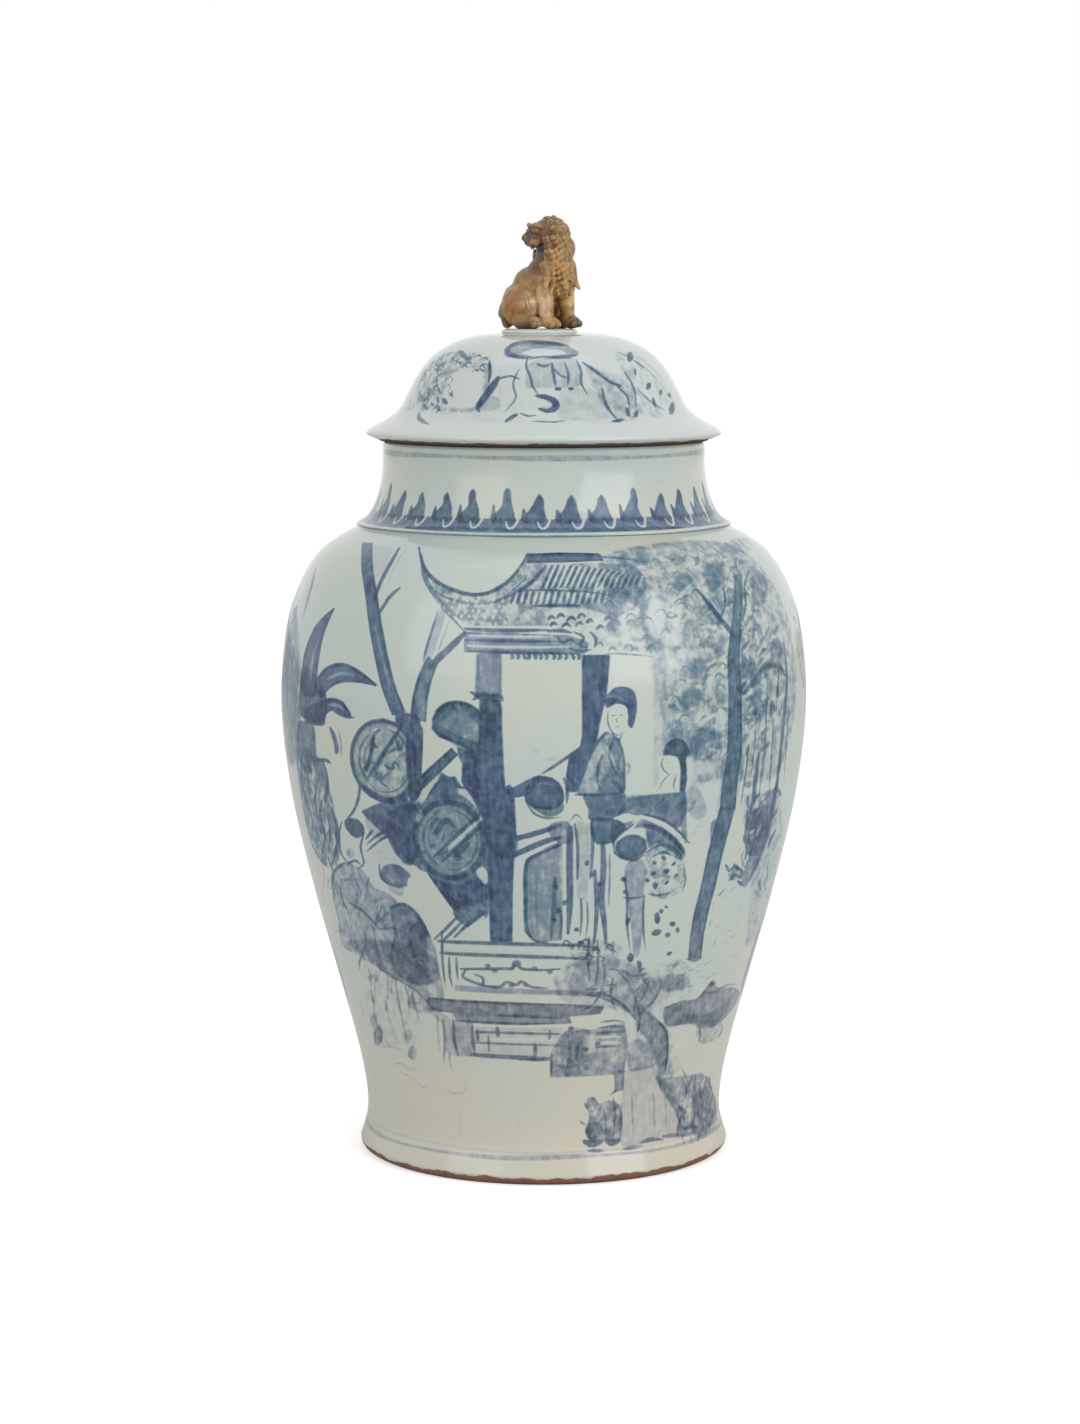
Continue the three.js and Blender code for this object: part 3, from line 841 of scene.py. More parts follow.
def bananaLeaves():
    painter(hue=0.6)
    wash([(-131, 205), (-124, 210), (-121.5, 240), (-122.6, 268), (-126, 284), (-132, 262), (-135, 232)],
        0.4, 0.6, 5, grain=0.3)
    stroke([(-115.5, 303), (-116.4, 297), (-118.6, 289), (-121, 279)], 3.4, 0.4, 0.15, tips=(0.6, 0.2),
        soft=1.6)
    wash([(-121.6, 232), (-122, 245), (-120.5, 256), (-114, 255), (-109, 249), (-107, 241), (-110, 231)],
        0.58, 0.3, grain=0.4)
    blades = (
        ([(-121.5, 243), (-121, 254), (-119.5, 264), (-115.5, 273), (-110.5, 280.5), (-103.5, 287.4),
          (-106.4, 281), (-109.6, 273), (-111.6, 264), (-112.6, 254), (-113, 244)],
         [(-121, 244), (-120.4, 255), (-118, 267), (-112.6, 278.4), (-103.8, 287.2)],
         [(-104.2, 286), (-108.6, 276), (-111.4, 264), (-112.4, 252)],
         [(-116, 250), (-115, 262), (-111, 273)]),
        ([(-114, 248), (-111, 254), (-106, 259), (-98, 261.8), (-91, 259.6), (-86, 256.4), (-81, 252.4),
          (-88, 253.4), (-95, 253.8), (-101, 252), (-106, 248.6), (-110, 243)],
         [(-113.6, 250), (-108, 257.4), (-101, 260.8), (-94, 260), (-86.4, 256), (-81.4, 252.6)],
         [(-110, 244), (-105, 249.6), (-99, 252.8), (-90, 253.6), (-82, 252.4)],
         [(-107, 252.8), (-100, 256.6), (-93, 256.6)]),
        ([(-118.6, 229.4), (-119, 236), (-112, 240.6), (-106.4, 243.4), (-100, 243), (-95.6, 239.4),
          (-94.6, 236), (-100, 236.4), (-104, 238), (-107.6, 235), (-109, 229.6)],
         [(-111, 239), (-105.6, 243), (-100, 242.8), (-96.4, 239.4), (-94.6, 235.6)],
         [(-92.4, 236), (-97, 235.6), (-101.4, 236.6), (-104.6, 238.2)],
         [(-106, 240.4), (-101, 240.8), (-97.8, 238.4)]),
    )
    for blade, back, belly, vein in blades:
        wash(blade, 0.64, 0.9, 0.8, grain=0.2)
        stroke(back, 1.9, 0.68, 0.15, tips=(0.6, 0.6))
        stroke(belly, 1.3, 0.58, 0.4)
        stroke(vein, 1.7, 0.42, wipe=True)
    stroke([(-105.4, 229), (-102.4, 222), (-102.6, 214)], 3.2, 0.6, 0.6)
    stroke([(-101.4, 229.6), (-99.8, 222), (-100, 213)], 1, 0.4, 0.2)
    wash([(-123, 228), (-115, 229), (-113.4, 220), (-114, 207), (-120, 203), (-124, 214)], 0.5, 0.55, 1.4,
        grain=0.5)
    blank([(-113, 228), (-107.4, 227.6), (-105.6, 220), (-107, 212.4), (-112.4, 212)], tone=0.7, soft=1.2)
    stroke([(-113.4, 211), (-108, 212.2), (-104.4, 210.4)], 2, 0.6, 0.2)


def leftTree():
    painter(hue=0.5)
    wash([(-84.6, 317.6), (-84, 303), (-80, 304), (-73, 317.6)], 0.16, 0.9, 1.2, smooth=False)
    limb([(-88, 318.4), (-87, 307), (-84.6, 296), (-83, 286), (-79.4, 268), (-75.4, 252), (-70.4, 240)], 5,
        6.4, 0.6, 0.6, 0.62)
    stroke([(-71.2, 317.6), (-76.6, 308), (-80.4, 300.6), (-82.6, 294)], 2.6, 0.64, 0.4, tips=(0.7, 0.8))
    stroke([(-70, 299.8), (-75.4, 295), (-80.2, 287.4)], 2.2, 0.6, 0.4, tips=(0.4, 0.8))
    stroke([(-67.4, 318), (-72, 311), (-77, 300)], 1.2, 0.22, teal)
    spot((-86, 300), 3, 9, 0.4, 0.3, soft=1.2)
    stroke([(-82, 280), (-78.4, 266), (-74.6, 253)], 1.6, 0.3, teal, wipe=True)
    wash([(-72, 241), (-61, 240), (-58.6, 232), (-60, 200), (-65, 195), (-67, 216), (-66.4, 232),
        (-72, 236)], 0.66, 0.6, 1.2, smooth=False, grain=0.4)
    limb([(-60.8, 237), (-59.4, 250), (-56.2, 261), (-53.4, 266.6)], 7, 5.2, 0.5, 0.3, 0.7)
    stroke([(-55, 263), (-50, 268.4), (-44.6, 273.4), (-38.2, 280)], 3.2, 0.7, 0.35, tips=(0.8, 0.6))
    stroke([(-56.8, 265), (-53.4, 276), (-48.6, 290)], 4.4, 0.26, 0.95, tips=(0.6, 0.7))
    stroke([(-58.4, 266), (-55.6, 276), (-51, 290.4)], 1.3, 0.5, teal)
    stroke([(-51.6, 269), (-45.4, 286)], 0.9, 0.3, teal)
    limb([(-63.6, 202), (-56, 210), (-49, 217), (-43, 223)], 4.4, 3.8, 0.62, 0.2, 0.7)
    strokes([[(-64, 236), (-62.4, 220), (-63, 204)], [(-58.6, 234), (-59.4, 218), (-60.6, 202)]], 1.2, 0.6,
        0.3)


roofEdge = [(-61.4, 318.4), (-57.6, 308.6), (-51, 302.8), (-42, 299.4), (-34, 297.9), (-25.6, 299.4),
    (-17.4, 304.4), (-11.6, 310.8), (-7.8, 317)]


def pavilionRoof():
    painter(hue=0.45)
    wash([*roofEdge, (-2, 312.6), (27, 312.6), (45, 311), (50, 302), (44, 291), (28, 285), (6, 284),
        (-36, 283.4), (-44, 288), (-51, 295.6), (-57.6, 305)], 0.3, 0.35, 1, pool=0.1, smooth=False,
        grain=0.75)
    stroke(roofEdge, 2, 0.62, 0.45, tips=(0.6, 0.6))
    stroke([(-60, 315), (-58, 305), (-52.6, 297), (-46.4, 289.4), (-38.6, 281)], 2.2, 0.5, 0.5)
    stroke([(-55, 301), (-49, 297), (-41, 294.6), (-32, 293.6), (-22, 295.4), (-14, 301), (-8, 307)], 1.3,
        0.4, 0.4)
    for row in range(5):
        for k in range(11 - row):
            x, z = -50 + 2.2 * row + 3.7 * k, 299.6 - 2.9 * row - 0.011 * (k * 3.7 - 18) ** 2 * (4 - row) / 4
            spot((x + dice.uniform(-0.5, 0.5), z - 3 + dice.uniform(-0.5, 0.5)), 1.5, 2, 0.62, wipe=True,
                soft=0.8)
    stroke([(1, 311.6), (-5, 305), (-11, 300.6), (-19, 296.4)], 2, 0.66, 0.6)
    wash([(-8.5, 312.8), (-8.2, 316.8), (8, 317.4), (27, 316.8), (29, 313.6), (10, 313)], 0.78, 0.85,
        smooth=False)
    stroke([(28, 315.2), (40, 314.2), (50, 312.2)], 1.8, 0.5, 0.7, tips=(0.9, 0.3))
    for k in range(16):
        x, faint = 1.5 + 3 * k, 1 - 0.03 * k
        top, foot = 311.6 - 0.012 * x * x * 0.25, dice.uniform(300.6, 302)
        stroke([(x + 2.4, top), (x, 306.5), (x - 2.4, foot)], 1.5, 0.66 * faint, 0.35, tips=(0.8, 0.5))
        stroke([(x + 4.1, top), (x + 1.6, 306.2), (x - 0.8, foot + 0.4)], 1.2, 0.7 * faint, wipe=True,
            tips=(0.7, 0.5))
    for k in range(15):
        x = -15 + 3.1 * k
        stroke([(x + 0.7, 299.8), (x, 297), (x - 0.9, 294)], 1.3, 0.56 - 0.01 * k, 0.3, tips=(0.8, 0.5))
        stroke([(x + 2.2, 299.4), (x + 0.8, 294.6)], 1, 0.6, wipe=True, tips=(0.7, 0.5))
    stroke([(-14, 300.6), (4, 300.4), (22, 299.4), (36, 297)], 1, 0.45, teal)
    stroke([(-4, 293.2), (6, 293.4), (17, 293.2)], 1.7, 0.66, 0.4, tips=(0.5, 0.5))
    blank([(2, 292.2), (20, 292), (34, 288), (30, 283.6), (2, 283.4)], tone=0.6, soft=1.4, smooth=False)
    for x, z, reach in (
            (3.6, 287.6, 3), (8, 288.4, 3.6), (13, 287, 4), (18, 288.4, 3.4), (4.6, 284.6, 3),
            (10.6, 284, 4), (17, 284.6, 3), (22, 286, 2.6), (27, 283, 3), (31, 287, 3)):
        stroke([(x - reach / 2, z - 0.8), (x, z + 0.9), (x + reach / 2, z - 0.3)], 1.5, 0.6, 0.15,
            tips=(0.6, 0.6))
    strokes([[(-38, 282), (-22, 281.6), (-6, 281.8), (2, 282)], [(2, 281.4), (8, 281.8), (13, 280.6)]], 2,
        0.6, 0.4, tips=(0.7, 0.5))
    wash([(-38.6, 271), (-38.2, 280.6), (-12, 280.4), (12, 279.6), (22, 276), (20, 270.6)], 0.38, 0.7,
        smooth=False, grain=0.3)
    strokes([[(-36, 279), (-16, 278.8), (4, 278.8)], [(-37, 274), (-14, 273.8), (12, 274)]], 1.4, 0.62,
        wipe=True, tips=(0.7, 0.4))
    strokes([[(-38, 276.8), (-14, 276.6), (8, 276.6)], [(-36, 271.6), (-12, 271.2), (4, 271), (16, 270.6)]],
        1.6, 0.55, 0.4)
    for k in range(12):
        x = -16 + 2.9 * k + dice.uniform(-0.6, 0.6)
        stroke([(x, 270.6), (x + 0.6, 269.4), (x + dice.uniform(-0.6, 0.8), 268)], 1.7, 0.58, 0.2,
            tips=(0.8, 0.5))
    strokes([[(6, 279), (9, 276), (13, 277.6), (16, 275)], [(14, 281), (19, 278.6), (17.4, 274.6),
        (21, 273.4)], [(22, 281), (25, 277.6), (24, 273.6)], [(12, 273.4), (17, 272), (23, 272.6)]], 1.3,
        0.55, 0.2)
    scallops([(24, 270), (24, 296), (52, 302), (54, 270)], 16, 5, 0.32, 0.3)


def pavilionWalls():
    painter(hue=0.85)
    wash([(-33.2, 250), (-32.8, 271), (-20.2, 271), (-20.2, 250)], 0.4, 0.8, smooth=False, soft=1.2)
    stroke([(-31.6, 252), (-31.4, 270)], 1.2, 0.3, 0.6)
    stroke([(-35, 252), (-29, 249.4), (-22, 250.6), (-18.6, 247.6)], 2.8, 0.7, 0.3, tips=(0.4, 0.4))
    stroke([(-34, 248.4), (-29, 251.6), (-24, 249)], 2, 0.6, 0.3)
    wash([(-30.8, 249), (-31, 240), (-31.6, 226), (-38, 223), (-40, 208), (-34, 200), (-29.6, 190),
        (-27.6, 178), (-26.8, 150), (-26.2, 127.5), (-15.4, 127.5), (-15.2, 150), (-14.6, 168),
        (-13.4, 184), (-14.4, 205), (-19, 211), (-20, 232), (-20.6, 249)], 0.72, 0.72, 1, smooth=False,
        grain=0.3)
    wash([(-31, 247), (-30, 236), (-26, 230), (-21, 234), (-20.4, 246), (-25, 249)], 0.42, 0.2, 1.6)
    wash([(-24, 184), (-13.6, 184), (-12.4, 177), (-14.6, 170), (-23, 171)], 0.4, 0.05, 1.4)
    wash([(-36, 206), (-22, 207), (-14, 204), (-14, 187), (-26, 188)], 0.24, plum, 1.6, smooth=False)
    strokes([[(-28.6, 238), (-27.8, 212), (-26, 180), (-25.4, 150), (-25, 130)], [(-21.6, 240),
        (-20.6, 214), (-16.6, 186)]], 1.2, 0.42, 0.5)
    blank([(-19.4, 268), (-19.4, 240), (-18.8, 206.4), (-12, 209.6), (-3, 212.8), (5, 217), (12, 222),
        (17.6, 226), (17.8, 250), (17.6, 267.6)], smooth=False, soft=0.9)
    wash([(-18.6, 204), (-14, 206.6), (-8, 210), (-2, 212.4), (2, 210), (-4, 205), (-12, 201)], 0.62, 0.75)
    stroke([(-1, 213), (6, 217.4), (13, 222.4), (18.6, 227)], 1.6, 0.62, 0.4)
    wash([(18.2, 270), (18.2, 250), (18.4, 232), (17.4, 226), (12, 221), (10.6, 212), (10.8, 204),
        (19, 203.6), (22, 214), (25, 226), (27, 238), (30, 250), (31.8, 270)], 0.72, 0.74, smooth=False,
        grain=0.25)
    wash([(26.4, 246), (27, 269), (31.4, 269), (30, 250)], 0.4, plum, 1, smooth=False)
    spot((4, 220), 7, 3.4, 0.16, 0.3, soft=1.6)
    spot((-4, 224), 4, 3, 0.14, 0.2, soft=1.4)
    blank([(33, 267.4), (31.4, 250), (29.8, 236), (35, 229), (39, 218), (39.6, 203), (51.6, 203),
        (51.8, 230), (51.4, 250), (51, 267)], smooth=False, soft=1.4, tone=0.95)
    wash([(52.6, 268), (60, 268), (59, 240), (59, 206), (52.6, 205)], 0.17, 0.8, 2, smooth=False, grain=0.3)
    stroke([(30, 270.6), (40, 270), (52, 268.4)], 1, 0.35, teal)


# A standing figure in a robe
def lady():
    painter(hue=0.5)
    robe = [(29.6, 233.4), (25.6, 229), (22, 222), (18.6, 212), (16, 203), (26, 202.6), (38.6, 202.6),
        (38.8, 212), (37, 222), (35.6, 230)]
    blank(robe, soft=0.8)
    wash(robe, 0.3, 0.4, 0.9, grain=0.4)
    wash([(27, 203), (28, 210), (33, 216), (37.6, 214), (38.6, 203)], 0.3, 0.1, 1.6, grain=0.4)
    wash([(31, 229), (33, 220), (36, 214), (37, 224), (35.6, 230)], 0.24, 0.2, 1.2)
    blank([(31.2, 246), (34.6, 248), (39, 246.4), (40.2, 240), (38.6, 233.6), (35.6, 231), (32, 233),
        (30.4, 239)], soft=0.6)
    stroke([(30.8, 243), (30.6, 238), (32.4, 233.4), (35.8, 231.2), (38.8, 233.6)], 0.8, 0.42, teal)
    strokes([[(32.6, 240.6), (33.4, 241), (34.2, 240.6)], [(36.4, 240.6), (37.2, 241), (38, 240.6)],
        [(35.1, 239.6), (34.9, 237.8), (35.5, 237.4)], [(34.4, 235.6), (35.3, 235.3), (36.2, 235.6)]], 0.55,
        0.5, teal)
    wash([(30.2, 244.6), (29.6, 249), (33, 253.6), (38.4, 254.6), (43.2, 252.2), (44.8, 246), (44, 239.4),
        (42.4, 234.4), (40.4, 236.4), (40.6, 241), (39.4, 245.2), (34.6, 246.6)], 0.74, 0.7, soft=1)
    stroke([(28, 249), (34, 250.2), (40, 247)], 1.2, 0.35, teal, wipe=True)
    strokes([[(30, 232.6), (25.6, 228), (21.6, 220), (18, 210), (16.4, 204)], [(36, 229.6), (38.2, 221),
        (38.8, 211), (38.6, 203.4)], [(33.6, 230), (31.4, 222), (34, 214), (37.4, 210)], [(28, 222),
        (25.6, 213), (26.6, 205)]], 1.3, 0.48, teal)
    strokes([[(38.4, 218), (41, 215), (40, 211)], [(40.4, 218), (42, 214.6)]], 0.8, 0.36, teal)
    stroke([(33, 209), (36, 206.4), (38, 202.6)], 2.2, 0.6, teal)
    stroke([(15, 202.6), (26, 202.2), (38.4, 202.8)], 1.6, 0.6, teal)
    stroke([(32.6, 232.6), (35.6, 228.6), (38, 232.2)], 1, 0.4, teal)
    stroke([(30, 226), (33, 220), (35, 214)], 1.6, 0.4, wipe=True)


def darkDrapes():
    painter(hue=0.5)
    wash([(49, 187.4), (58, 184), (65, 178), (68.6, 171), (67, 166), (62, 172), (55, 176.6), (51, 174),
        (49.6, 180)], 0.5, 0.5, 1.4, smooth=False, grain=0.3)
    wash([(24, 202), (40, 201.6), (54, 201.6), (68, 200), (68, 192), (56, 191), (46, 196), (36, 192),
        (26, 193)], 0.26, 0.4, 1.8, smooth=False, grain=0.3)
    wash([(66, 200), (69, 201), (69.6, 188), (70, 176), (67, 180), (66.6, 190)], 0.36, 0.7, 1.4)


def attendant():
    painter(hue=0.5)
    blank([(55, 220), (56, 211), (55, 203), (65.6, 203), (66.6, 219)], soft=1.4, smooth=False)
    wash([(57.8, 220.6), (59.6, 226.2), (64.4, 228.2), (68.8, 226), (70.8, 220.4), (69, 217.6), (69.6, 209),
        (68.6, 202), (66, 202.6), (66.4, 212), (65, 218.4), (61.4, 220.4)], 0.74, 0.3, soft=1, grain=0.2)
    stroke([(57.8, 219.4), (56.8, 215.8), (58.4, 212.4), (60.8, 210.6)], 0.9, 0.42, teal)
    stroke([(59.2, 216.4), (60, 216.6), (60.6, 216.3)], 0.5, 0.4, teal)
    strokes([[(60.6, 210.6), (57.4, 207), (55.4, 202.4)], [(64, 210), (63, 205), (63.6, 202)]], 0.9, 0.4,
        teal)


def tableAndCloth():
    painter(hue=0.5)
    blank([(-13.4, 201), (-8, 202.6), (-6.6, 192), (-2, 187.6), (5, 187.6), (4, 184.6), (-6, 182.4),
        (-13, 182.6)], soft=1, smooth=False)
    wash([(-9, 200), (-8.4, 207), (-3, 211.4), (4, 211), (9, 206), (9.4, 199), (5, 195.6), (-4, 195.8)],
        0.7, 0.8, grain=0.2)
    wash([(-8.6, 199), (-3, 194), (3, 191.6), (8.8, 194), (9.4, 198), (4, 196.6), (-3, 197)], 0.48, 0)
    stroke([(-8.8, 199.4), (-5, 193.6), (1, 191), (8, 191.6)], 1.3, 0.5, teal)
    stroke([(-5, 205), (-1, 208.4), (4, 207.6)], 1.6, 0.3, wipe=True)
    strokes([[(9.4, 211), (11.2, 206), (11, 198)], [(11.6, 212), (16, 206), (20, 201.6)]], 1.7, 0.58, 0.4)
    wash([(20, 203), (38, 203), (38.6, 196), (34, 189), (22, 190), (20.6, 196)], 0.5, 0.25, 1.2, grain=0.5)
    blank([(11.6, 197.6), (20.4, 197.6), (21, 190), (14, 189)], tone=0.9, soft=1.2)
    stroke([(12.6, 189.6), (15.6, 192.6), (19, 189.4)], 1.2, 0.34, teal)
    wash([(23, 190), (34, 190), (39.4, 186), (36, 179.6), (28, 177), (23.6, 180)], 0.62, 0.55, 1)
    stroke([(-13.6, 180.6), (-5, 183), (1, 185), (8, 187.6)], 2.8, 0.68, 0.5, tips=(0.9, 0.5))
    stroke([(-14, 172.6), (-6, 176.4), (1, 179.6), (8.6, 181.4)], 2.9, 0.68, 0.35, tips=(0.9, 0.5))
    wash([(3, 188), (12, 189), (14, 180), (9, 178), (3, 182)], 0.42, 0.8, 1.2)
    wash([(-9.8, 133), (-9.8, 160), (-9, 170), (-3, 173.6), (2, 177), (9, 179.6), (9.4, 160), (9, 128.4),
        (-4, 127.6)], 0.37, 0.55, 0.9, smooth=False, grain=0.25)
    blank([(-14.8, 128), (-14.6, 150), (-14.4, 170), (-11, 172.6), (-10.2, 166), (-10.6, 150),
        (-10.8, 128)], smooth=False, soft=0.9)
    stroke([(8.6, 178), (0, 174), (-7, 170.4), (-9, 164), (-9, 150), (-8.6, 136), (-5.6, 129), (1, 127.4)],
        1.9, 0.64, 0.3, tips=(0.5, 0.6))
    blank([(10, 186), (10.6, 172), (9.4, 165), (10.6, 150), (9.6, 140), (8, 160), (7.6, 178)], tone=0.35,
        soft=1.2)
    wash([(15.6, 190), (22, 188), (22.6, 166), (21, 148), (16, 150), (15, 170)], 0.2, 0.15, 1.2, smooth=False)
    for line, width, tone, hue in (
            ([(5.4, 161), (5, 150), (4.2, 140), (3.4, 129)], 2, 0.55, 0.3), ([(12.8, 186), (12.4, 170),
            (12.6, 150), (11.8, 132)], 3.2, 0.62, 0.55), ([(14.8, 188), (16.4, 176), (16.2, 160)], 1.3, 0.5,
            0.3), ([(23, 188), (23.6, 176), (22.6, 160)], 1.6, 0.5, 0.4), ([(18, 150), (18.4, 140),
            (17.6, 131)], 1.4, 0.5, 0.3), ([(21, 148), (21.4, 138), (20.4, 130)], 1.2, 0.42, 0.3),
            ([(24.6, 164), (25.6, 150), (25.4, 136), (24.4, 126)], 2.2, 0.6, 0.4), ([(28.4, 178), (29, 166),
            (28, 150), (29.4, 138), (30.4, 126)], 3, 0.6, 0.85), ([(31.8, 172), (32, 158), (31.4, 146)],
            1.3, 0.4, 0.8), ([(33.6, 140), (34.4, 128), (33.6, 120)], 1.2, 0.35, 0.3), ([(7.8, 145),
            (8.6, 138), (7.6, 130)], 1.4, 0.5, 0.2), ([(-3.6, 160), (-3.8, 146), (-3, 134)], 1.2, 0.22,
            0.5)):
        stroke(line, width, tone, hue, tips=(0.7, 0.5))
    for x, z in (
            (6, 156), (7, 144), (5, 139), (10, 148), (23, 162), (21, 168), (16, 134), (27, 157), (18, 127),
            (25, 124)):
        spot((x, z), 2.4, 3, 0.55, 0.15, lean=dice.uniform(0, 3), soft=0.8)
    blank([(33, 168), (37.4, 172), (38.6, 150), (37, 130), (34.6, 124), (32.8, 140)], tone=0.9, soft=1.2)
    wash([(35, 191), (40, 200), (50, 201), (69, 201.6), (70, 192), (66, 183), (58, 188), (48, 191)], 0.42,
        0.4, 1, smooth=False, grain=0.25)
    stroke([(50, 191), (56, 197), (62, 201)], 1.1, 0.3, teal)
    wash([(34.6, 172), (34.4, 180), (40, 184), (48, 184.6), (58, 181), (66, 174), (69, 168), (68, 176),
        (60, 185), (50, 189), (40, 188), (32, 184)], 0.4, 0.7, 0.9)
    spot((42.4, 175.4), 16, 12.6, 0.62, 0.8, soft=1.2)
    stroke([(34, 173), (38, 170), (44, 168.6), (49, 171)], 1.5, 0.6, 0.2)
    stroke([(34, 177), (34.4, 181.4), (38, 184)], 1.3, 0.6, 0.3)
    strokes([[(34.4, 190), (40, 191.4), (46.4, 189)], [(46, 190), (41.4, 184), (36, 179.6)], [(46.6, 190.6),
        (55, 187.4), (62.4, 181.8), (69.6, 173)]], 2.3, 0.85, wipe=True, tips=(0.6, 0.5))
    stroke([(48.6, 191.4), (56, 189), (63.6, 184), (71, 175)], 1.5, 0.62, 0.5)
    stroke([(48, 186.4), (55, 184), (62, 178.6), (68.4, 170.4)], 2.4, 0.62, 0.6)
    stroke([(39, 183.4), (44, 187.4)], 1.3, 0.5, 0.5)
    wash([(49, 170), (53, 175), (60, 174.6), (67, 169), (69, 160), (67, 150), (60, 147), (53, 149),
        (49.6, 158)], 0.2, 0.2, 1.2, grain=0.8)
    strokes([[(49.6, 172), (56, 175.4), (63, 173.6), (68.6, 167)], [(52, 169), (58, 171.6), (65, 168)],
        [(50.6, 150.6), (56, 149.4), (62, 150)], [(68.4, 164), (69.6, 156), (67.6, 149)]], 1.2, 0.42, teal)
    for x, z, size in (
            (54, 166.6, 2.6), (58.6, 168.4, 3), (63.4, 165, 2.6), (53.4, 161, 2.6), (60, 161.6, 3.4),
            (65, 159, 2.2), (54.4, 154.6, 3.6), (60, 155.6, 2.4), (50.4, 157.6, 2.4)):
        spot((x, z), size, size * 0.7, 0.5, 0.2, lean=dice.uniform(0, 3), soft=0.8)
    wash([(39.4, 166), (48.6, 168), (49, 150), (47.6, 122), (44, 119), (42.6, 134), (40.4, 150)], 0.3, plum,
        1.2, grain=0.2)
    strokes([[(39, 160), (40.6, 150), (40.6, 136), (42.6, 120)], [(49, 150), (48.6, 136), (50, 121)],
        [(38.6, 149.6), (43, 148.8), (48.8, 149.4)]], 1.4, 0.5, 0.4)
    for x, z, across, tall in (
            (38.8, 159, 3, 2.6), (39.6, 152.6, 2.6, 2), (41, 137, 2, 5), (55.6, 137.6, 3, 6.6),
            (55.4, 130, 5.4, 3.4), (57.6, 141, 2.4, 2.4), (63.4, 133.6, 3.4, 2.6), (61, 128, 3, 2.6),
            (66, 130, 2, 3), (62, 118, 3, 2), (60, 143, 2, 1.6), (42.6, 118, 3.4, 5), (47, 114, 2.6, 4)):
        spot((x, z), across, tall, 0.58, 0.15, lean=dice.uniform(-0.5, 0.5), soft=0.9)
    for x, z in ((11, 126.6), (15.6, 124.6), (20.6, 127), (25.6, 122), (28, 117.6), (32, 123.6), (22, 119)):
        stroke([(x - 2, z - 1), (x - 0.6, z + 1.8), (x + 1.6, z + 0.6), (x + 0.6, z - 1.6)], 1.1, 0.48, 0.2)


def disc(x, z, across, tall, tone, heavy):
    ring = [(x + 0.5 * across * math.sin(a), z + 0.5 * tall * math.cos(a)) for a in np.arange(0, 6.2, 0.42)]
    blank(ring, soft=0.8)
    wash(ring, tone, 0.12, soft=1, pool=0.6, grain=0.35)
    stroke([*ring, ring[0]], heavy, 0.66, 0.35, tips=(0.9, 0.9))
    for share, first, last, weight in ((0.4, 0.2, 3.4, 0.42), (0.38, 3.6, 6.1, 0.36), (0.3, 4.2, 5.8, 0.3)):
        stroke([(x + share * across * math.sin(a), z + share * tall * math.cos(a)) for a in np.arange(first,
            last, 0.45)], 1.2, weight, teal)


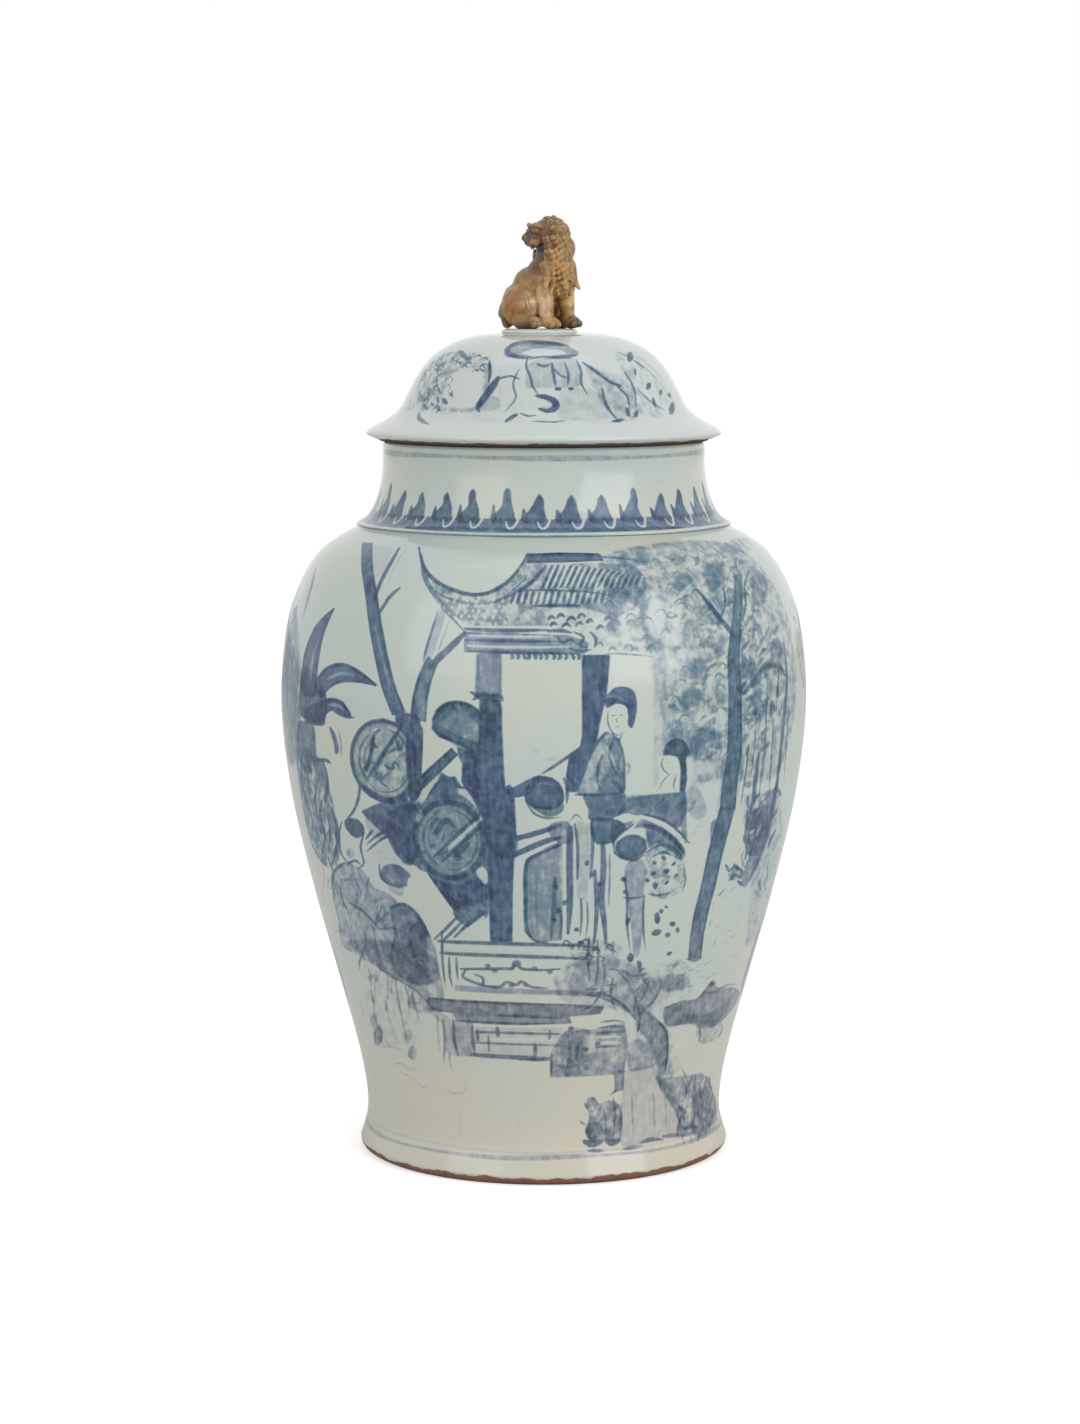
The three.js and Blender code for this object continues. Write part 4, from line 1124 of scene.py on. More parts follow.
def roundDiscs():
    painter(hue=0.4)
    wash([(-62, 196), (-70, 199), (-80, 195), (-90, 189), (-84, 183), (-77, 178), (-72, 172), (-66, 166),
        (-60, 162), (-52, 152), (-46, 143), (-42, 137), (-34, 132), (-27, 141), (-27, 160), (-28, 180),
        (-33, 200), (-40, 206), (-44, 213), (-51, 213), (-58, 206)], 0.56, 0.6, 1.2, smooth=False,
        grain=0.4)
    wash([(-76, 190), (-64, 196), (-60, 184), (-62, 170), (-66, 164), (-73, 170), (-77, 180)], 0.62, 0.95,
        1.6)
    wash([(-54, 158), (-42, 156), (-30, 160), (-27.6, 150), (-40, 144), (-48, 148)], 0.5, 0.95, 1.6)
    wash([(-51, 213), (-43, 213), (-41, 200), (-50, 199)], 0.4, 0.1, 1.2, smooth=False)
    wash([(-42, 226), (-31, 222), (-31, 204), (-36, 206), (-39.6, 212)], 0.55, 0.55, 1.2, smooth=False)
    disc(-78, 216, 33, 40, 0.29, 2.3)
    disc(-45.8, 178.6, 34, 38.6, 0.4, 3)
    stroke([(-88, 202), (-82, 197.6), (-75, 196), (-67, 199), (-62.6, 206)], 3.4, 0.6, 0.7)
    strokes([[(-69, 233.6), (-74, 226), (-79.6, 217), (-87, 205)], [(-87, 210), (-84.6, 218), (-83, 228),
        (-80, 231)]], 2, 0.62, 0.2, tips=(0.7, 0.5))
    strokes([[(-81, 222), (-84, 224.6), (-82, 228)], [(-77.6, 214), (-74, 212), (-72.6, 216), (-70, 213)],
        [(-86, 214), (-88.6, 209), (-85, 205)], [(-77, 209), (-80, 205.4), (-76, 203)], [(-72, 228),
        (-69.6, 222), (-68, 227)], [(-76, 220), (-72, 222.6)], [(-66, 214), (-64.6, 208)]], 1.4, 0.5, 0.15)
    dabs([(-90, 222), (-82, 231), (-68, 226), (-66, 208), (-76, 200), (-88, 208)], 12, 4, 0.32, 0.1, 0.7)
    strokes([[(-31, 192.6), (-38, 185.6), (-46, 177.6), (-54, 169)], [(-28.8, 188.6), (-36, 181),
        (-44, 173), (-50, 167)]], 1.7, 0.6, 0.3, tips=(0.7, 0.5))
    stroke([(-30, 190.4), (-38, 182.6), (-50, 170.2)], 1.8, 0.62, wipe=True)
    strokes([[(-52.6, 181), (-49.6, 187), (-46, 188.6), (-43.6, 185)], [(-44, 170.4), (-40, 173.6),
        (-36.4, 177.6)]], 2.8, 0.66, 0.1, tips=(0.6, 0.5))
    dabs([(-60, 186), (-52, 194), (-40, 194), (-32, 182), (-34, 168), (-44, 164), (-56, 170)], 16, 4, 0.36,
        0.1, 0.8)
    strokes([[(-60, 197), (-56, 205), (-50.6, 212.4)], [(-41, 203.6), (-35.4, 201.4), (-30.4, 195)]], 4.2,
        0.72, wipe=True, tips=(0.6, 0.6), soft=1.2)
    strokes([[(-62.6, 196.6), (-59, 205), (-53.6, 212.6)], [(-57, 198), (-53, 205), (-48, 210)],
        [(-42, 206), (-35, 204), (-29, 197)]], 1.3, 0.6, 0.3)
    blank([(-50, 214), (-47, 219), (-43, 221.6), (-39.4, 217), (-41, 212), (-46, 210.4)], soft=1)
    blank([(-66.6, 157), (-61, 162.4), (-57, 161), (-50, 151), (-44, 142), (-46, 136), (-53, 133),
        (-58, 135), (-64, 143), (-67.6, 150)], soft=1, smooth=False)
    stroke([(-56.6, 161), (-50, 151.6), (-43.6, 142.6)], 1.5, 0.6, 0.3)
    blank([(-62.6, 186), (-64.6, 190), (-60, 193.6), (-58.6, 189)], soft=0.9, tone=0.5)
    blank([(-33, 163), (-29.6, 166), (-26.6, 161), (-28.6, 156.6)], soft=0.9, tone=0.8)
    blank([(-43.6, 128.6), (-29, 141), (-27, 128)], soft=0.8, smooth=False)
    strokes([[(-28, 143), (-36, 137), (-44, 128.4)], [(-43, 138.6), (-49, 131.6), (-54, 126.6)],
        [(-40, 137), (-46, 130), (-50, 126)]], 1.7, 0.6, 0.2, tips=(0.7, 0.6))
    dabs([(-74, 192), (-62, 194), (-60, 166), (-70, 168)], 12, 6, 0.4, 0.3, 1.2)
    dabs([(-52, 156), (-30, 157), (-29, 141), (-42, 140)], 14, 5, 0.4, 0.2, -0.6)
    strokes([[(-39, 224), (-36, 214), (-37, 207)], [(-34, 224), (-33, 210), (-34.6, 200)], [(-49, 211),
        (-46.6, 204), (-47, 199)]], 1.4, 0.45, 0.2)


def leafCap():
    painter(hue=0.3)
    wash([(-54, 235), (-52.6, 242), (-47.4, 246.6), (-41, 247.4), (-35, 245.4), (-30.6, 241), (-30.6, 222),
        (-38, 225.6), (-46, 228.4), (-52, 230.4)], 0.64, 0.3, 1.2, grain=0.5)
    blank([(-48.8, 235), (-47.4, 238.8), (-42, 240.8), (-36, 239.8), (-31.8, 236.4), (-31.6, 228.6),
        (-38, 229.6), (-44, 232.4)], tone=0.85, soft=1.2)
    wash([(-48.8, 235), (-47.4, 238.8), (-42, 240.8), (-36, 239.8), (-31.8, 236.4), (-31.6, 226.6),
        (-38, 229.6), (-44, 232.4)], 0.34, 0, 1.4, grain=0.4)
    strokes([[(-53.6, 238), (-49, 244), (-42, 247), (-34, 245), (-29, 240)], [(-54, 234), (-48, 229.6),
        (-40, 226.6), (-32, 221.6)]], 1.7, 0.62, 0.1)
    strokes([[(-50, 241), (-48.6, 245)], [(-44, 243), (-43.6, 247)], [(-37, 242.6), (-36, 246)]], 1.6, 0.5,
        0.1)


def leftRocks():
    painter(hue=0.6)
    wash([(-124, 214), (-112, 213), (-106, 196), (-103, 186), (-101, 170), (-104, 158), (-112, 156),
        (-119, 168), (-123, 190)], 0.4, 0.35, 1.8, grain=0.7)
    blank([(-105, 214), (-95.6, 214), (-92, 203), (-93, 190), (-99.6, 184), (-104, 189)], tone=0.9, soft=1.4)
    for line, width, tone in (
            ([(-121, 212), (-122, 198), (-118.6, 184), (-116, 172)], 3, 0.5), ([(-117.6, 210),
            (-118, 196), (-114.6, 182)], 1.8, 0.4), ([(-110, 212), (-107.6, 204), (-108, 195), (-112, 184),
            (-109.6, 172), (-111.6, 162)], 2.6, 0.66), ([(-113, 200), (-114.6, 188), (-112, 176),
            (-113.6, 164)], 1.7, 0.5), ([(-105.6, 188), (-103, 179), (-103.4, 168), (-106, 158)], 2.2,
            0.62), ([(-107.6, 182), (-106.6, 174), (-108, 164)], 1.4, 0.5), ([(-119, 188), (-116.4, 178),
            (-117.4, 168)], 1.4, 0.4), ([(-108, 160), (-105.6, 152), (-107.6, 143)], 2.4, 0.4),
            ([(-112, 158), (-111, 148), (-113, 138)], 1.5, 0.25)):
        stroke(line, width, tone, 0.35, tips=(0.6, 0.4), soft=0.9)
    for x, z in (
            (-115.6, 204), (-110.6, 190), (-118, 178), (-108.6, 178), (-113, 170), (-105, 170),
            (-116, 194)):
        stroke([(x, z + 4), (x + 0.8, z), (x - 0.4, z - 4)], 2, 0.6, wipe=True, tips=(0.5, 0.4))
    stroke([(-90.6, 206), (-90.8, 197), (-94, 188), (-99, 182)], 1.8, 0.6, 0.2)
    wash([(-98.6, 180), (-97, 184), (-92, 184.6), (-88.6, 181), (-89.4, 176.4), (-94, 174.6)], 0.68, 0.95,
        1)
    blank([(-99.6, 177), (-96, 176), (-91.6, 173), (-90, 164), (-94, 160), (-100.4, 165)], tone=0.9, soft=1)
    spot((-96, 166), 4.6, 6, 0.24, 0.2, soft=1.4, grain=0.5)
    strokes([[(-100, 182), (-102, 174), (-100.6, 164), (-96, 160)], [(-88.6, 178), (-90.6, 170), (-89, 162),
        (-92, 158.6)], [(-98, 159.6), (-93.6, 162.6), (-90.4, 160.6)]], 1.5, 0.6, 0.25)
    wash([(-88, 186), (-80, 189), (-74, 184), (-76, 178), (-84, 176)], 0.24, 0.9, 1.6)
    strokes([[(-72.6, 179), (-79, 176.4), (-87.6, 168.4)], [(-73.6, 182), (-80.6, 178.6), (-87.6, 172)],
        [(-84, 180), (-88, 174.6)]], 1.5, 0.58, 0.15)
    wash([(-82.6, 170), (-76, 175.6), (-69.6, 172), (-66.4, 166), (-72, 162.6), (-80, 163.6)], 0.14, 0, 1.2)
    wash([(-80, 155), (-79, 162), (-72, 163.6), (-66, 160), (-65, 154.6), (-72, 151.6)], 0.5, 0.75, 1.2,
        grain=0.4)
    stroke([(-81, 163), (-80.4, 156), (-76, 152)], 1.5, 0.55, 0.3)
    wash([(-77, 150.6), (-72, 154.4), (-68.6, 150.6), (-71, 147)], 0.2, 0, 1)
    wash([(-107, 150), (-104, 158), (-98, 161), (-90, 159), (-84, 150), (-76, 148), (-70, 142.6),
        (-63, 138.6), (-58, 130), (-53, 118), (-52.6, 104), (-62, 100), (-80, 105), (-92, 110), (-103, 112),
        (-104, 126), (-106, 138)], 0.3, 0.72, 1.8, smooth=False, grain=0.35)
    wash([(-76, 141), (-68, 143), (-61, 138), (-55.6, 126), (-53, 108), (-60, 101), (-72, 104), (-78, 114),
        (-74, 126)], 0.36, 0.5, 1.4, grain=0.4)
    wash([(-67.6, 124), (-65, 133), (-59, 134), (-56, 124), (-58, 117.6), (-64, 118)], 0.5, 0.95, 1.6)
    stroke([(-75, 141), (-69, 143.4), (-62.6, 139), (-57.6, 130), (-53.4, 119), (-52.4, 106)], 2.3, 0.6,
        0.25, tips=(0.5, 0.8))
    for line, width, tone in (
            ([(-106.6, 146), (-105, 154), (-99, 160.6)], 1.8, 0.5), ([(-102, 147), (-101, 139),
            (-98, 132.6)], 1.5, 0.42), ([(-97.4, 139), (-91, 136.4), (-85.6, 132), (-81.6, 128)], 1.7, 0.5),
            ([(-96, 150), (-92.6, 144), (-94, 138)], 1.2, 0.3), ([(-86, 156), (-88, 148), (-84.6, 142)],
            1.3, 0.32), ([(-82, 127.6), (-74, 130), (-68, 127)], 1.4, 0.42), ([(-84, 124), (-83, 115),
            (-79, 107)], 1.6, 0.42), ([(-74, 124), (-75.6, 114), (-72, 105)], 1.4, 0.4), ([(-90, 126),
            (-89, 118), (-92, 112)], 1.5, 0.42), ([(-69, 118), (-70.6, 110), (-66, 103)], 1.5, 0.45),
            ([(-62, 116), (-58, 112), (-60, 106)], 1.6, 0.5), ([(-100, 128), (-97, 120), (-99, 113)], 1.2,
            0.3), ([(-80, 144), (-78.6, 136), (-80.6, 130)], 1.3, 0.3), ([(-66, 115), (-60, 118),
            (-55.6, 113)], 1.4, 0.5)):
        stroke(line, width, tone, 0.35, soft=0.9)
    spot((-85.6, 119), 5, 7, 0.3, 0.9, soft=1.8)
    dabs([(-103, 158), (-86, 150), (-62, 134), (-56, 106), (-90, 112), (-104, 126)], 46, 6, 0.26, 0.5, 1.35,
        slim=0.25)
    dabs([(-110, 150), (-104, 150), (-103, 110), (-106, 112)], 10, 8, 0.16, 0.8, 1.45, slim=0.25)
    blank([(-57.6, 127), (-52.6, 124), (-50, 113), (-51.6, 104), (-56, 106)], tone=0.5, soft=1.6)
    dabs([(-92, 108), (-58, 100), (-58, 92), (-88, 98)], 10, 6, 0.16, 0.4, 1.5, slim=0.3)


def rightGarden():
    painter(hue=0.4)
    wash([(26, 314), (42, 300), (46, 284), (50, 272), (60, 268), (59, 240), (58, 222), (72, 216), (72, 204),
        (92, 206), (106, 200), (119, 206), (127, 236), (125.6, 268), (118, 292), (104, 311), (84, 320),
        (50, 320)], 0.25, 0.12, 3, pool=0.05, grain=0.55)
    wash([(20, 296), (44, 302), (52, 286), (60, 262), (58, 236), (53, 258), (42, 268), (28, 275),
        (14, 283)], 0.17, 0.1, 2.6, pool=0, grain=0.6)
    for x, z, across, tall, tone in (
            (54, 286, 9, 20, 0.6), (64, 290, 7, 13, 0.6), (41, 290, 12, 8, 0.5), (44, 268, 14, 7, 0.7),
            (60, 264, 10, 6, 0.6), (62, 276, 9, 7, 0.5), (54, 250, 5, 30, 0.4), (100, 286, 5, 16, 0.5),
            (110, 278, 4, 12, 0.4), (88, 262, 5, 10, 0.4), (86, 236, 5, 12, 0.4), (104, 236, 5, 14, 0.4),
            (112, 222, 3, 16, 0.4), (99, 214, 3, 14, 0.5), (76, 214, 6, 5, 0.4), (71, 300, 5, 8, 0.4)):
        spot((x, z), across, tall, tone, wipe=True, soft=2.6)
    for x, z, across, tall, tone, hue in (
            (79, 224, 18, 16, 0.34, 0.8), (100, 259, 11, 9, 0.4, 0.95), (84, 304, 12, 14, 0.3, 0.5),
            (68, 302, 10, 8, 0.3, 0.7), (107, 296, 9, 16, 0.3, 0.4), (36, 300, 12, 12, 0.26, 0.4),
            (32, 286, 9, 9, 0.3, 0.3), (72, 246, 12, 12, 0.26, 0.2), (84, 288, 9, 12, 0.24, 0.2),
            (116, 262, 8, 18, 0.3, 0.3), (64, 232, 8, 10, 0.22, 0.6), (44, 314, 16, 6, 0.3, 0.5),
            (76, 262, 12, 8, 0.22, 0.5), (106, 240, 10, 16, 0.26, 0.3), (97, 316, 18, 6, 0.26, 0.2)):
        spot((x, z), across, tall, tone, 0.6 * hue, soft=2.6, grain=0.7)
    scallops([(32, 312), (44, 290), (62, 262), (60, 222), (90, 214), (118, 232), (116, 286), (100, 310),
        (60, 318)], 60, 5.4, 0.24, 0.2)
    dabs([(60, 316), (62, 262), (60, 222), (90, 212), (120, 232), (116, 286), (100, 310)], 60, 4.6, 0.24,
        0.25, 0.5)
    dabs([(96, 310), (98, 212), (117, 214), (122, 250), (112, 296)], 34, 5, 0.36, 0.15, 1.1)
    dabs([(60, 316), (62, 262), (60, 222), (90, 212), (120, 232), (116, 286), (100, 310)], 40, 4, 0.4,
        lean=0.5, wipe=True)
    wash([(87, 216), (99, 216), (97.6, 203), (94, 190), (88, 184), (84, 190), (86, 200)], 0.2, 0.6, 1.4,
        smooth=False)
    limb([(96, 304), (95.4, 290), (94, 278)], 3.4, 4.4, 0.4, 0.3, 0.5)
    limb([(94, 278), (92.8, 264), (93.6, 248), (93.6, 232), (93.4, 217), (91.4, 204), (90.4, 190)], 5, 7.6,
        0.55, 0.35, 0.66)
    limb([(90.4, 191), (88.6, 184), (86.4, 176), (83.6, 164), (81.4, 152), (78, 138), (76, 126), (75, 113)],
        7.4, 6.4, 0.54, 0.4, 0.6)
    wash([(82, 184), (88.6, 185), (88, 172), (82.4, 172)], 0.4, 0.95, 1.4)
    stroke([(70.6, 114), (75, 112), (79.6, 113.4)], 1.6, 0.5, 0.2)
    stroke([(93.6, 275), (87, 283), (80.4, 291.6), (74.6, 298.6)], 2.6, 0.66, 0.25, tips=(0.9, 0.4))
    stroke([(91, 281), (83, 291), (76.6, 300)], 1.2, 0.4, wipe=True)
    strokes([[(97.4, 282), (99.6, 290), (99, 298), (102.6, 306)], [(86, 284), (89, 292), (87.6, 300)]], 1.5,
        0.5, 0.3)
    stroke([(94.6, 250.6), (98, 247.2), (101.6, 250.4), (106, 256), (112, 259), (118, 256.6), (121, 251.6)],
        2.4, 0.64, 0.3, tips=(0.8, 0.6))
    stroke([(120, 268), (121.6, 252), (120.4, 236), (118.4, 215), (116.6, 196), (113.6, 180), (110, 166),
        (106, 156), (101.6, 148)], 3.2, 0.6, 0.5)
    wash([(108, 192), (116.4, 194), (115, 178), (110, 162), (102, 147), (98.6, 151), (103, 166)], 0.36, 0.6,
        1.8, grain=0.5)
    stroke([(118.4, 214), (116.4, 196), (113.4, 182), (110, 168)], 3, 0.45, 0.95, tips=(0.4, 0.6))
    stroke([(106.4, 216), (104.8, 204), (103.8, 192), (101, 182)], 3.2, 0.56, 0.4, tips=(0.5, 0.7))
    for x, top, foot in (
            (104, 228, 206), (110, 246, 200), (113.6, 232, 192), (108, 214, 188), (100.4, 222, 200),
            (122, 236, 196), (98.6, 206, 190), (117, 262, 236)):
        stroke([(x + 0.6, top), (x - 0.4, (top + foot) / 2), (x - 1.4, foot)], 1.2, dice.uniform(0.3, 0.5),
            0.3)
    wash([(101, 183), (106, 188), (112, 182), (113, 172), (108, 163), (101.6, 164), (99.4, 174)], 0.5, 0.4,
        1.6, grain=0.9)
    wash([(99, 196), (118, 196), (122, 170), (116, 130), (110, 112), (102, 112), (104, 140), (104, 166),
        (98, 184)], 0.22, 0.9, 3, smooth=False, grain=0.4)
    dabs([(99, 196), (118, 196), (116, 168), (101, 166)], 22, 5, 0.5, 0.3, 1.3)
    dabs([(98, 196), (112, 192), (110, 168), (101, 170)], 8, 4, 0.6, lean=1.3, wipe=True)
    dabs([(112, 168), (118, 176), (112, 140), (104, 140)], 9, 5, 0.3, 0.8, 1.2)
    spot((95.6, 155), 8, 7, 0.34, 0.1, soft=1.6, grain=1)
    strokes([[(91.6, 157), (95, 159), (98.6, 156)], [(92, 152), (95, 154.6), (99, 151.6)], [(94, 160.6),
        (97, 157)], [(96.6, 151), (99.6, 147.6)], [(90, 161), (92, 157)]], 1.8, 0.56, 0.1)
    dabs([(84, 150), (99, 146), (98, 112), (82, 114)], 16, 3.4, 0.2, 0.2, 0.6)
    dabs([(62, 190), (74, 196), (78, 170), (70, 150), (66, 160)], 10, 4, 0.16, 0.2, 0.8)
    wash([(70, 203), (76, 202), (80, 190), (75, 186), (70, 192)], 0.24, 0.5, 1.6)
    spot((101, 201), 4, 4, 0.3, 0.2, soft=1.2)
    dabs([(98, 186), (106, 190), (104, 160), (98, 150)], 12, 4.4, 0.4, 0.3, 1.2)


def hangingMoss():
    painter(hue=0.5)
    wash([(-100, 116), (-86, 110), (-78, 103), (-66, 100), (-58, 92), (-50, 94), (-50, 104), (-56, 118),
        (-80, 122)], 0.3, 0.4, 1.8, grain=0.5)
    stroke([(-82, 106), (-72, 102), (-64, 98), (-58, 93)], 1.6, 0.4, 0.3)
    wash([(-91, 111), (-76, 106), (-64, 99), (-58, 90), (-60, 78), (-62, 64), (-72, 66), (-84, 62),
        (-90, 82)], 0.13, 0.8, 3, pool=0, grain=0.5)
    wash([(-64, 99), (-56, 91), (-58, 86), (-68, 89)], 0.24, 0.4, 1.6)
    for x, z, ends, tone in (
            (-91, 112, (-93, 102), 0.5), (-88, 106, (-84, 70), 0.26), (-84, 104, (-86, 78), 0.22),
            (-78, 104, (-80, 82), 0.24), (-74, 103, (-69, 72), 0.3), (-70, 102, (-67, 84), 0.24),
            (-66, 99, (-62, 82), 0.22), (-80, 92, (-76, 72), 0.2), (-93, 84, (-92, 74), 0.3),
            (-50, 84, (-50, 60), 0.4), (-53, 86, (-52, 66), 0.26), (-47, 66, (-45, 56), 0.3)):
        stroke([(x, z), ((x + ends[0]) / 2 + dice.uniform(-1, 1), (z + ends[1]) / 2), ends], 1.8, tone, 0.4,
            tips=(0.7, 0.3), soft=0.9)
    for x, z, across, tall, tone in (
            (-84, 68, 5, 13, 0.44), (-86, 76, 4, 9, 0.3), (-66, 63, 5, 8, 0.32), (-68, 72, 4, 9, 0.24)):
        spot((x, z), across, tall, tone, 0.3, -0.15, soft=1.6, grain=0.5)
    strokes([[(-76, 54), (-72, 56), (-68, 53.6), (-63, 55)], [(-72, 50.6), (-66, 49), (-61, 45.6),
        (-57, 47)], [(-49, 45.6), (-44, 44.6), (-40, 46), (-38.6, 52)], [(-82, 62), (-76, 64),
        (-70, 62.6)]], 1.5, 0.22, 0)
    for i in range(9):
        x = dice.uniform(-62, -8)
        stroke([(x, 36), (x + 0.5, 28), (x, 20)], 2.4, 0.07, 0, soft=1.2)


def terrace():
    painter(hue=0.4)
    wash([(14, 128), (36, 126), (46, 113), (70, 113), (73, 99), (58, 93), (48, 86), (30, 97), (12, 101)],
        0.17, 0.1, 2.4, pool=0, grain=0.6)
    wash([(-50, 126.6), (-30, 127.6), (24, 127), (24, 117.6), (-50, 118.6)], 0.12, 0.3, 1, smooth=False)
    stroke([(-50, 123.2), (-20, 123.8), (8, 123.2), (22, 122.2)], 1.8, 0.8, wipe=True)
    strokes([[(-52, 125.8), (-20, 126.6), (10, 126), (24, 124.6)], [(-51, 119.6), (-20, 120.2), (6, 119.6),
        (20, 118.4)]], 2, 0.56, 0.2, tips=(0.8, 0.4))
    strokes([[(-50, 131), (-50, 116), (-48.6, 101)], [(-46.6, 118), (-46.4, 108), (-45, 101)], [(-43, 118),
        (-42.6, 106)]], 1.6, 0.58, 0.25)
    strokes([[(-41, 112), (-30, 112.8), (-19, 113.4), (-15.4, 113.6), (-14.6, 116.8), (-12, 117),
        (-11, 113.6), (0, 113), (8, 113.6)], [(-38.6, 111.6), (-40, 108), (-36, 106), (-30.6, 104.4),
        (-30, 108), (-34, 109.6)], [(-30, 104), (-22, 103.6), (-18, 106.4), (-13.6, 105), (-10.6, 106.8),
        (-6, 104), (2, 103.4)]], 1.8, 0.58, 0.15, tips=(0.6, 0.5))
    for x, z in ((-27.6, 114.6), (-24, 112), (-16, 104.4), (-9, 105), (-13.4, 115.4), (-4.6, 114), (3, 112)):
        spot((x, z), 3.2, 2.2, 0.4, 0.1, soft=0.9)
    wash([(-44, 103.4), (-20, 103.4), (12, 102.4), (30, 100), (30, 98), (8, 99.8), (-20, 100), (-44, 100)],
        0.34, plum, 1, smooth=False)
    wash([(6, 112), (20, 118), (40, 116), (56, 104), (54, 92), (40, 90), (16, 94), (6, 100)], 0.22, 0.75,
        2.6, grain=0.45)
    wash([(-58, 95), (-20, 95.6), (12, 95), (30, 93), (28, 89), (12, 88), (-18, 88.4), (-56, 88)], 0.5, 0.5,
        1, smooth=False, grain=0.3)
    wash([(-46, 88), (-24, 88.6), (13, 88), (14, 84.4), (-18, 83.8), (-43, 84)], 0.44, 0.75, 1,
        smooth=False)
    strokes([[(-56, 94.8), (-20, 95.2), (10, 94.8)], [(-24, 88.6), (-6, 88.2), (9, 87.6)], [(-44, 84.2),
        (-14, 84.4), (6, 84.8)]], 1.7, 0.5, 0.3)
    stroke([(-58, 93), (-55, 89.6), (-50, 88.6)], 2.4, 0.5, 0.2)
    stroke([(-36, 82.2), (-12, 82.4), (8, 82)], 1.6, 0.4, wipe=True)
    wash([(-45, 65), (-44.6, 84), (-35, 84), (-35.4, 65.4)], 0.34, 0.9, 1.2, smooth=False, grain=0.3)
    strokes([[(-45, 85), (-44.6, 74), (-42.6, 65)], [(-35.4, 82), (-35, 72), (-34, 66)]], 2.2, 0.5, 0.2)
    wash([(-34, 82), (9, 82.6), (9, 72), (3, 71), (3, 65), (-35, 65)], 0.2, 0.15, 1, smooth=False)
    stroke([(-30, 75.6), (-8, 76), (8, 75.6)], 1.9, 0.6, wipe=True)
    for line, width, tone in (
            ([(-34, 79), (-14, 79.4), (8, 79)], 1.5, 0.5), ([(-34, 73.2), (-14, 73.4), (8, 73)], 1.2, 0.4),
            ([(-36, 66.6), (-14, 66.4), (3, 66)], 2.4, 0.56), ([(-33, 80), (-32.6, 74)], 2, 0.5),
            ([(-27.4, 77), (-27, 69)], 1.6, 0.4), ([(-23, 82), (-22.6, 77)], 2.4, 0.5), ([(-4, 74),
            (-4.6, 65)], 2.2, 0.5), ([(3, 81), (2.6, 76)], 1.8, 0.4), ([(-12, 65.4), (2, 65)], 1.6, 0.5)):
        stroke(line, width, tone, 0.15, tips=(0.8, 0.6))
    wash([(-58, 92), (-52, 88), (-46, 84), (-45, 66), (-49, 68), (-50, 80), (-57, 87)], 0.26, 0.3, 1.6)
    strokes([[(22, 130), (21.6, 118), (22.6, 107)], [(26, 128), (26.6, 116), (25.6, 105)], [(31, 124),
        (36, 121)], [(34, 108), (33, 98), (36, 90)], [(38, 112), (44, 108), (52, 109)], [(52, 104),
        (50, 98), (46, 92)], [(48, 88), (54, 93), (58, 99)], [(28, 100), (24, 94), (18, 91)]], 1.5, 0.42,
        0.2)
    dabs([(14, 128), (44, 118), (56, 98), (30, 96), (14, 104)], 18, 4, 0.36, 0.1, 0.4, slim=0.3)
    wash([(3.6, 70), (10, 80.6), (24, 81), (40, 84), (42, 70), (40, 56), (34, 55.8), (3, 55.6)], 0.34, 0.12,
        1.2, smooth=False, grain=0.5)
    wash([(10, 80), (22, 81), (21, 70), (24, 62), (16, 56.6), (9, 60)], 0.26, 0.05, 1.6)
    blank([(20.6, 78), (25, 77), (26, 70), (22.6, 68), (19, 72)], tone=0.35, soft=1.4)
    strokes([[(26, 76.4), (32, 76.6), (38.6, 76)], [(26, 73), (32, 73.4), (38.6, 72.8)]], 1.5, 0.7, wipe=True)
    strokes([[(28, 84.4), (34, 85), (40, 84)], [(26, 78.6), (32, 79), (40, 78.4)], [(25.6, 71), (31, 71.4),
        (38.6, 70.8)], [(27, 81.6), (34, 82), (40, 81.2)]], 1.4, 0.5, 0.4)
    strokes([[(12, 78), (13, 68), (10.6, 58)], [(17, 74), (16, 64)], [(3.8, 69), (3.6, 57)], [(6, 62),
        (14, 61)]], 1.8, 0.42, 0.1)
    for x, z in ((20.6, 70.4), (26.6, 73), (12.6, 64.6), (11.6, 57), (13.4, 82)):
        spot((x, z), 3, 2.4, 0.5, 0.1, soft=0.9)
    wash([(34.6, 58), (40.4, 58), (39.6, 47), (35.4, 46)], 0.4, 0.1, 1, smooth=False)
    wash([(45, 96), (50, 90), (56, 84), (62, 76), (62.6, 62), (61, 52), (57, 52), (56, 64), (52, 72),
        (46, 80), (44, 88)], 0.4, 0.6, 1.8, smooth=False, grain=0.5)
    wash([(42, 70), (46, 74), (53, 70), (56.6, 60), (50, 56.6), (42, 58)], 0.28, 0.6, 1.4)
    strokes([[(46.6, 92), (47.6, 84), (46, 76)], [(61.6, 75), (62, 64), (60.6, 53)], [(34, 97), (40, 92),
        (46, 84)], [(56, 83), (60.6, 77), (62, 70)]], 1.8, 0.56, 0.3)
    strokes([[(36, 112), (42, 104), (46, 94)], [(46, 116), (49, 106), (54, 98)], [(28, 118), (30, 110),
        (28, 102)], [(55, 96), (58, 102), (56, 108)], [(20, 100), (30, 97), (38, 92)]], 1.3, 0.34, 0.3)
    wash([(56, 106), (64, 107), (72, 104), (71, 98.6), (60, 98)], 0.26, 0, 1.6)
    wash([(39, 57.6), (55, 58.6), (61, 44), (67, 32), (70, 17.6), (39, 17)], 0.22, 0.8, 1, smooth=False)
    wash([(40, 98), (60, 106), (74, 99), (71, 84), (64, 62), (66, 47), (60, 44), (54, 58), (42, 60),
        (40, 84)], 0.13, 0.4, 2.4, pool=0, grain=0.5)
    wash([(69, 84), (78, 81), (92, 83), (97, 87), (92, 77), (84, 72.6), (75, 76)], 0.32, 0.6, 1.8, grain=0.5)
    for x in (44, 55, 61):
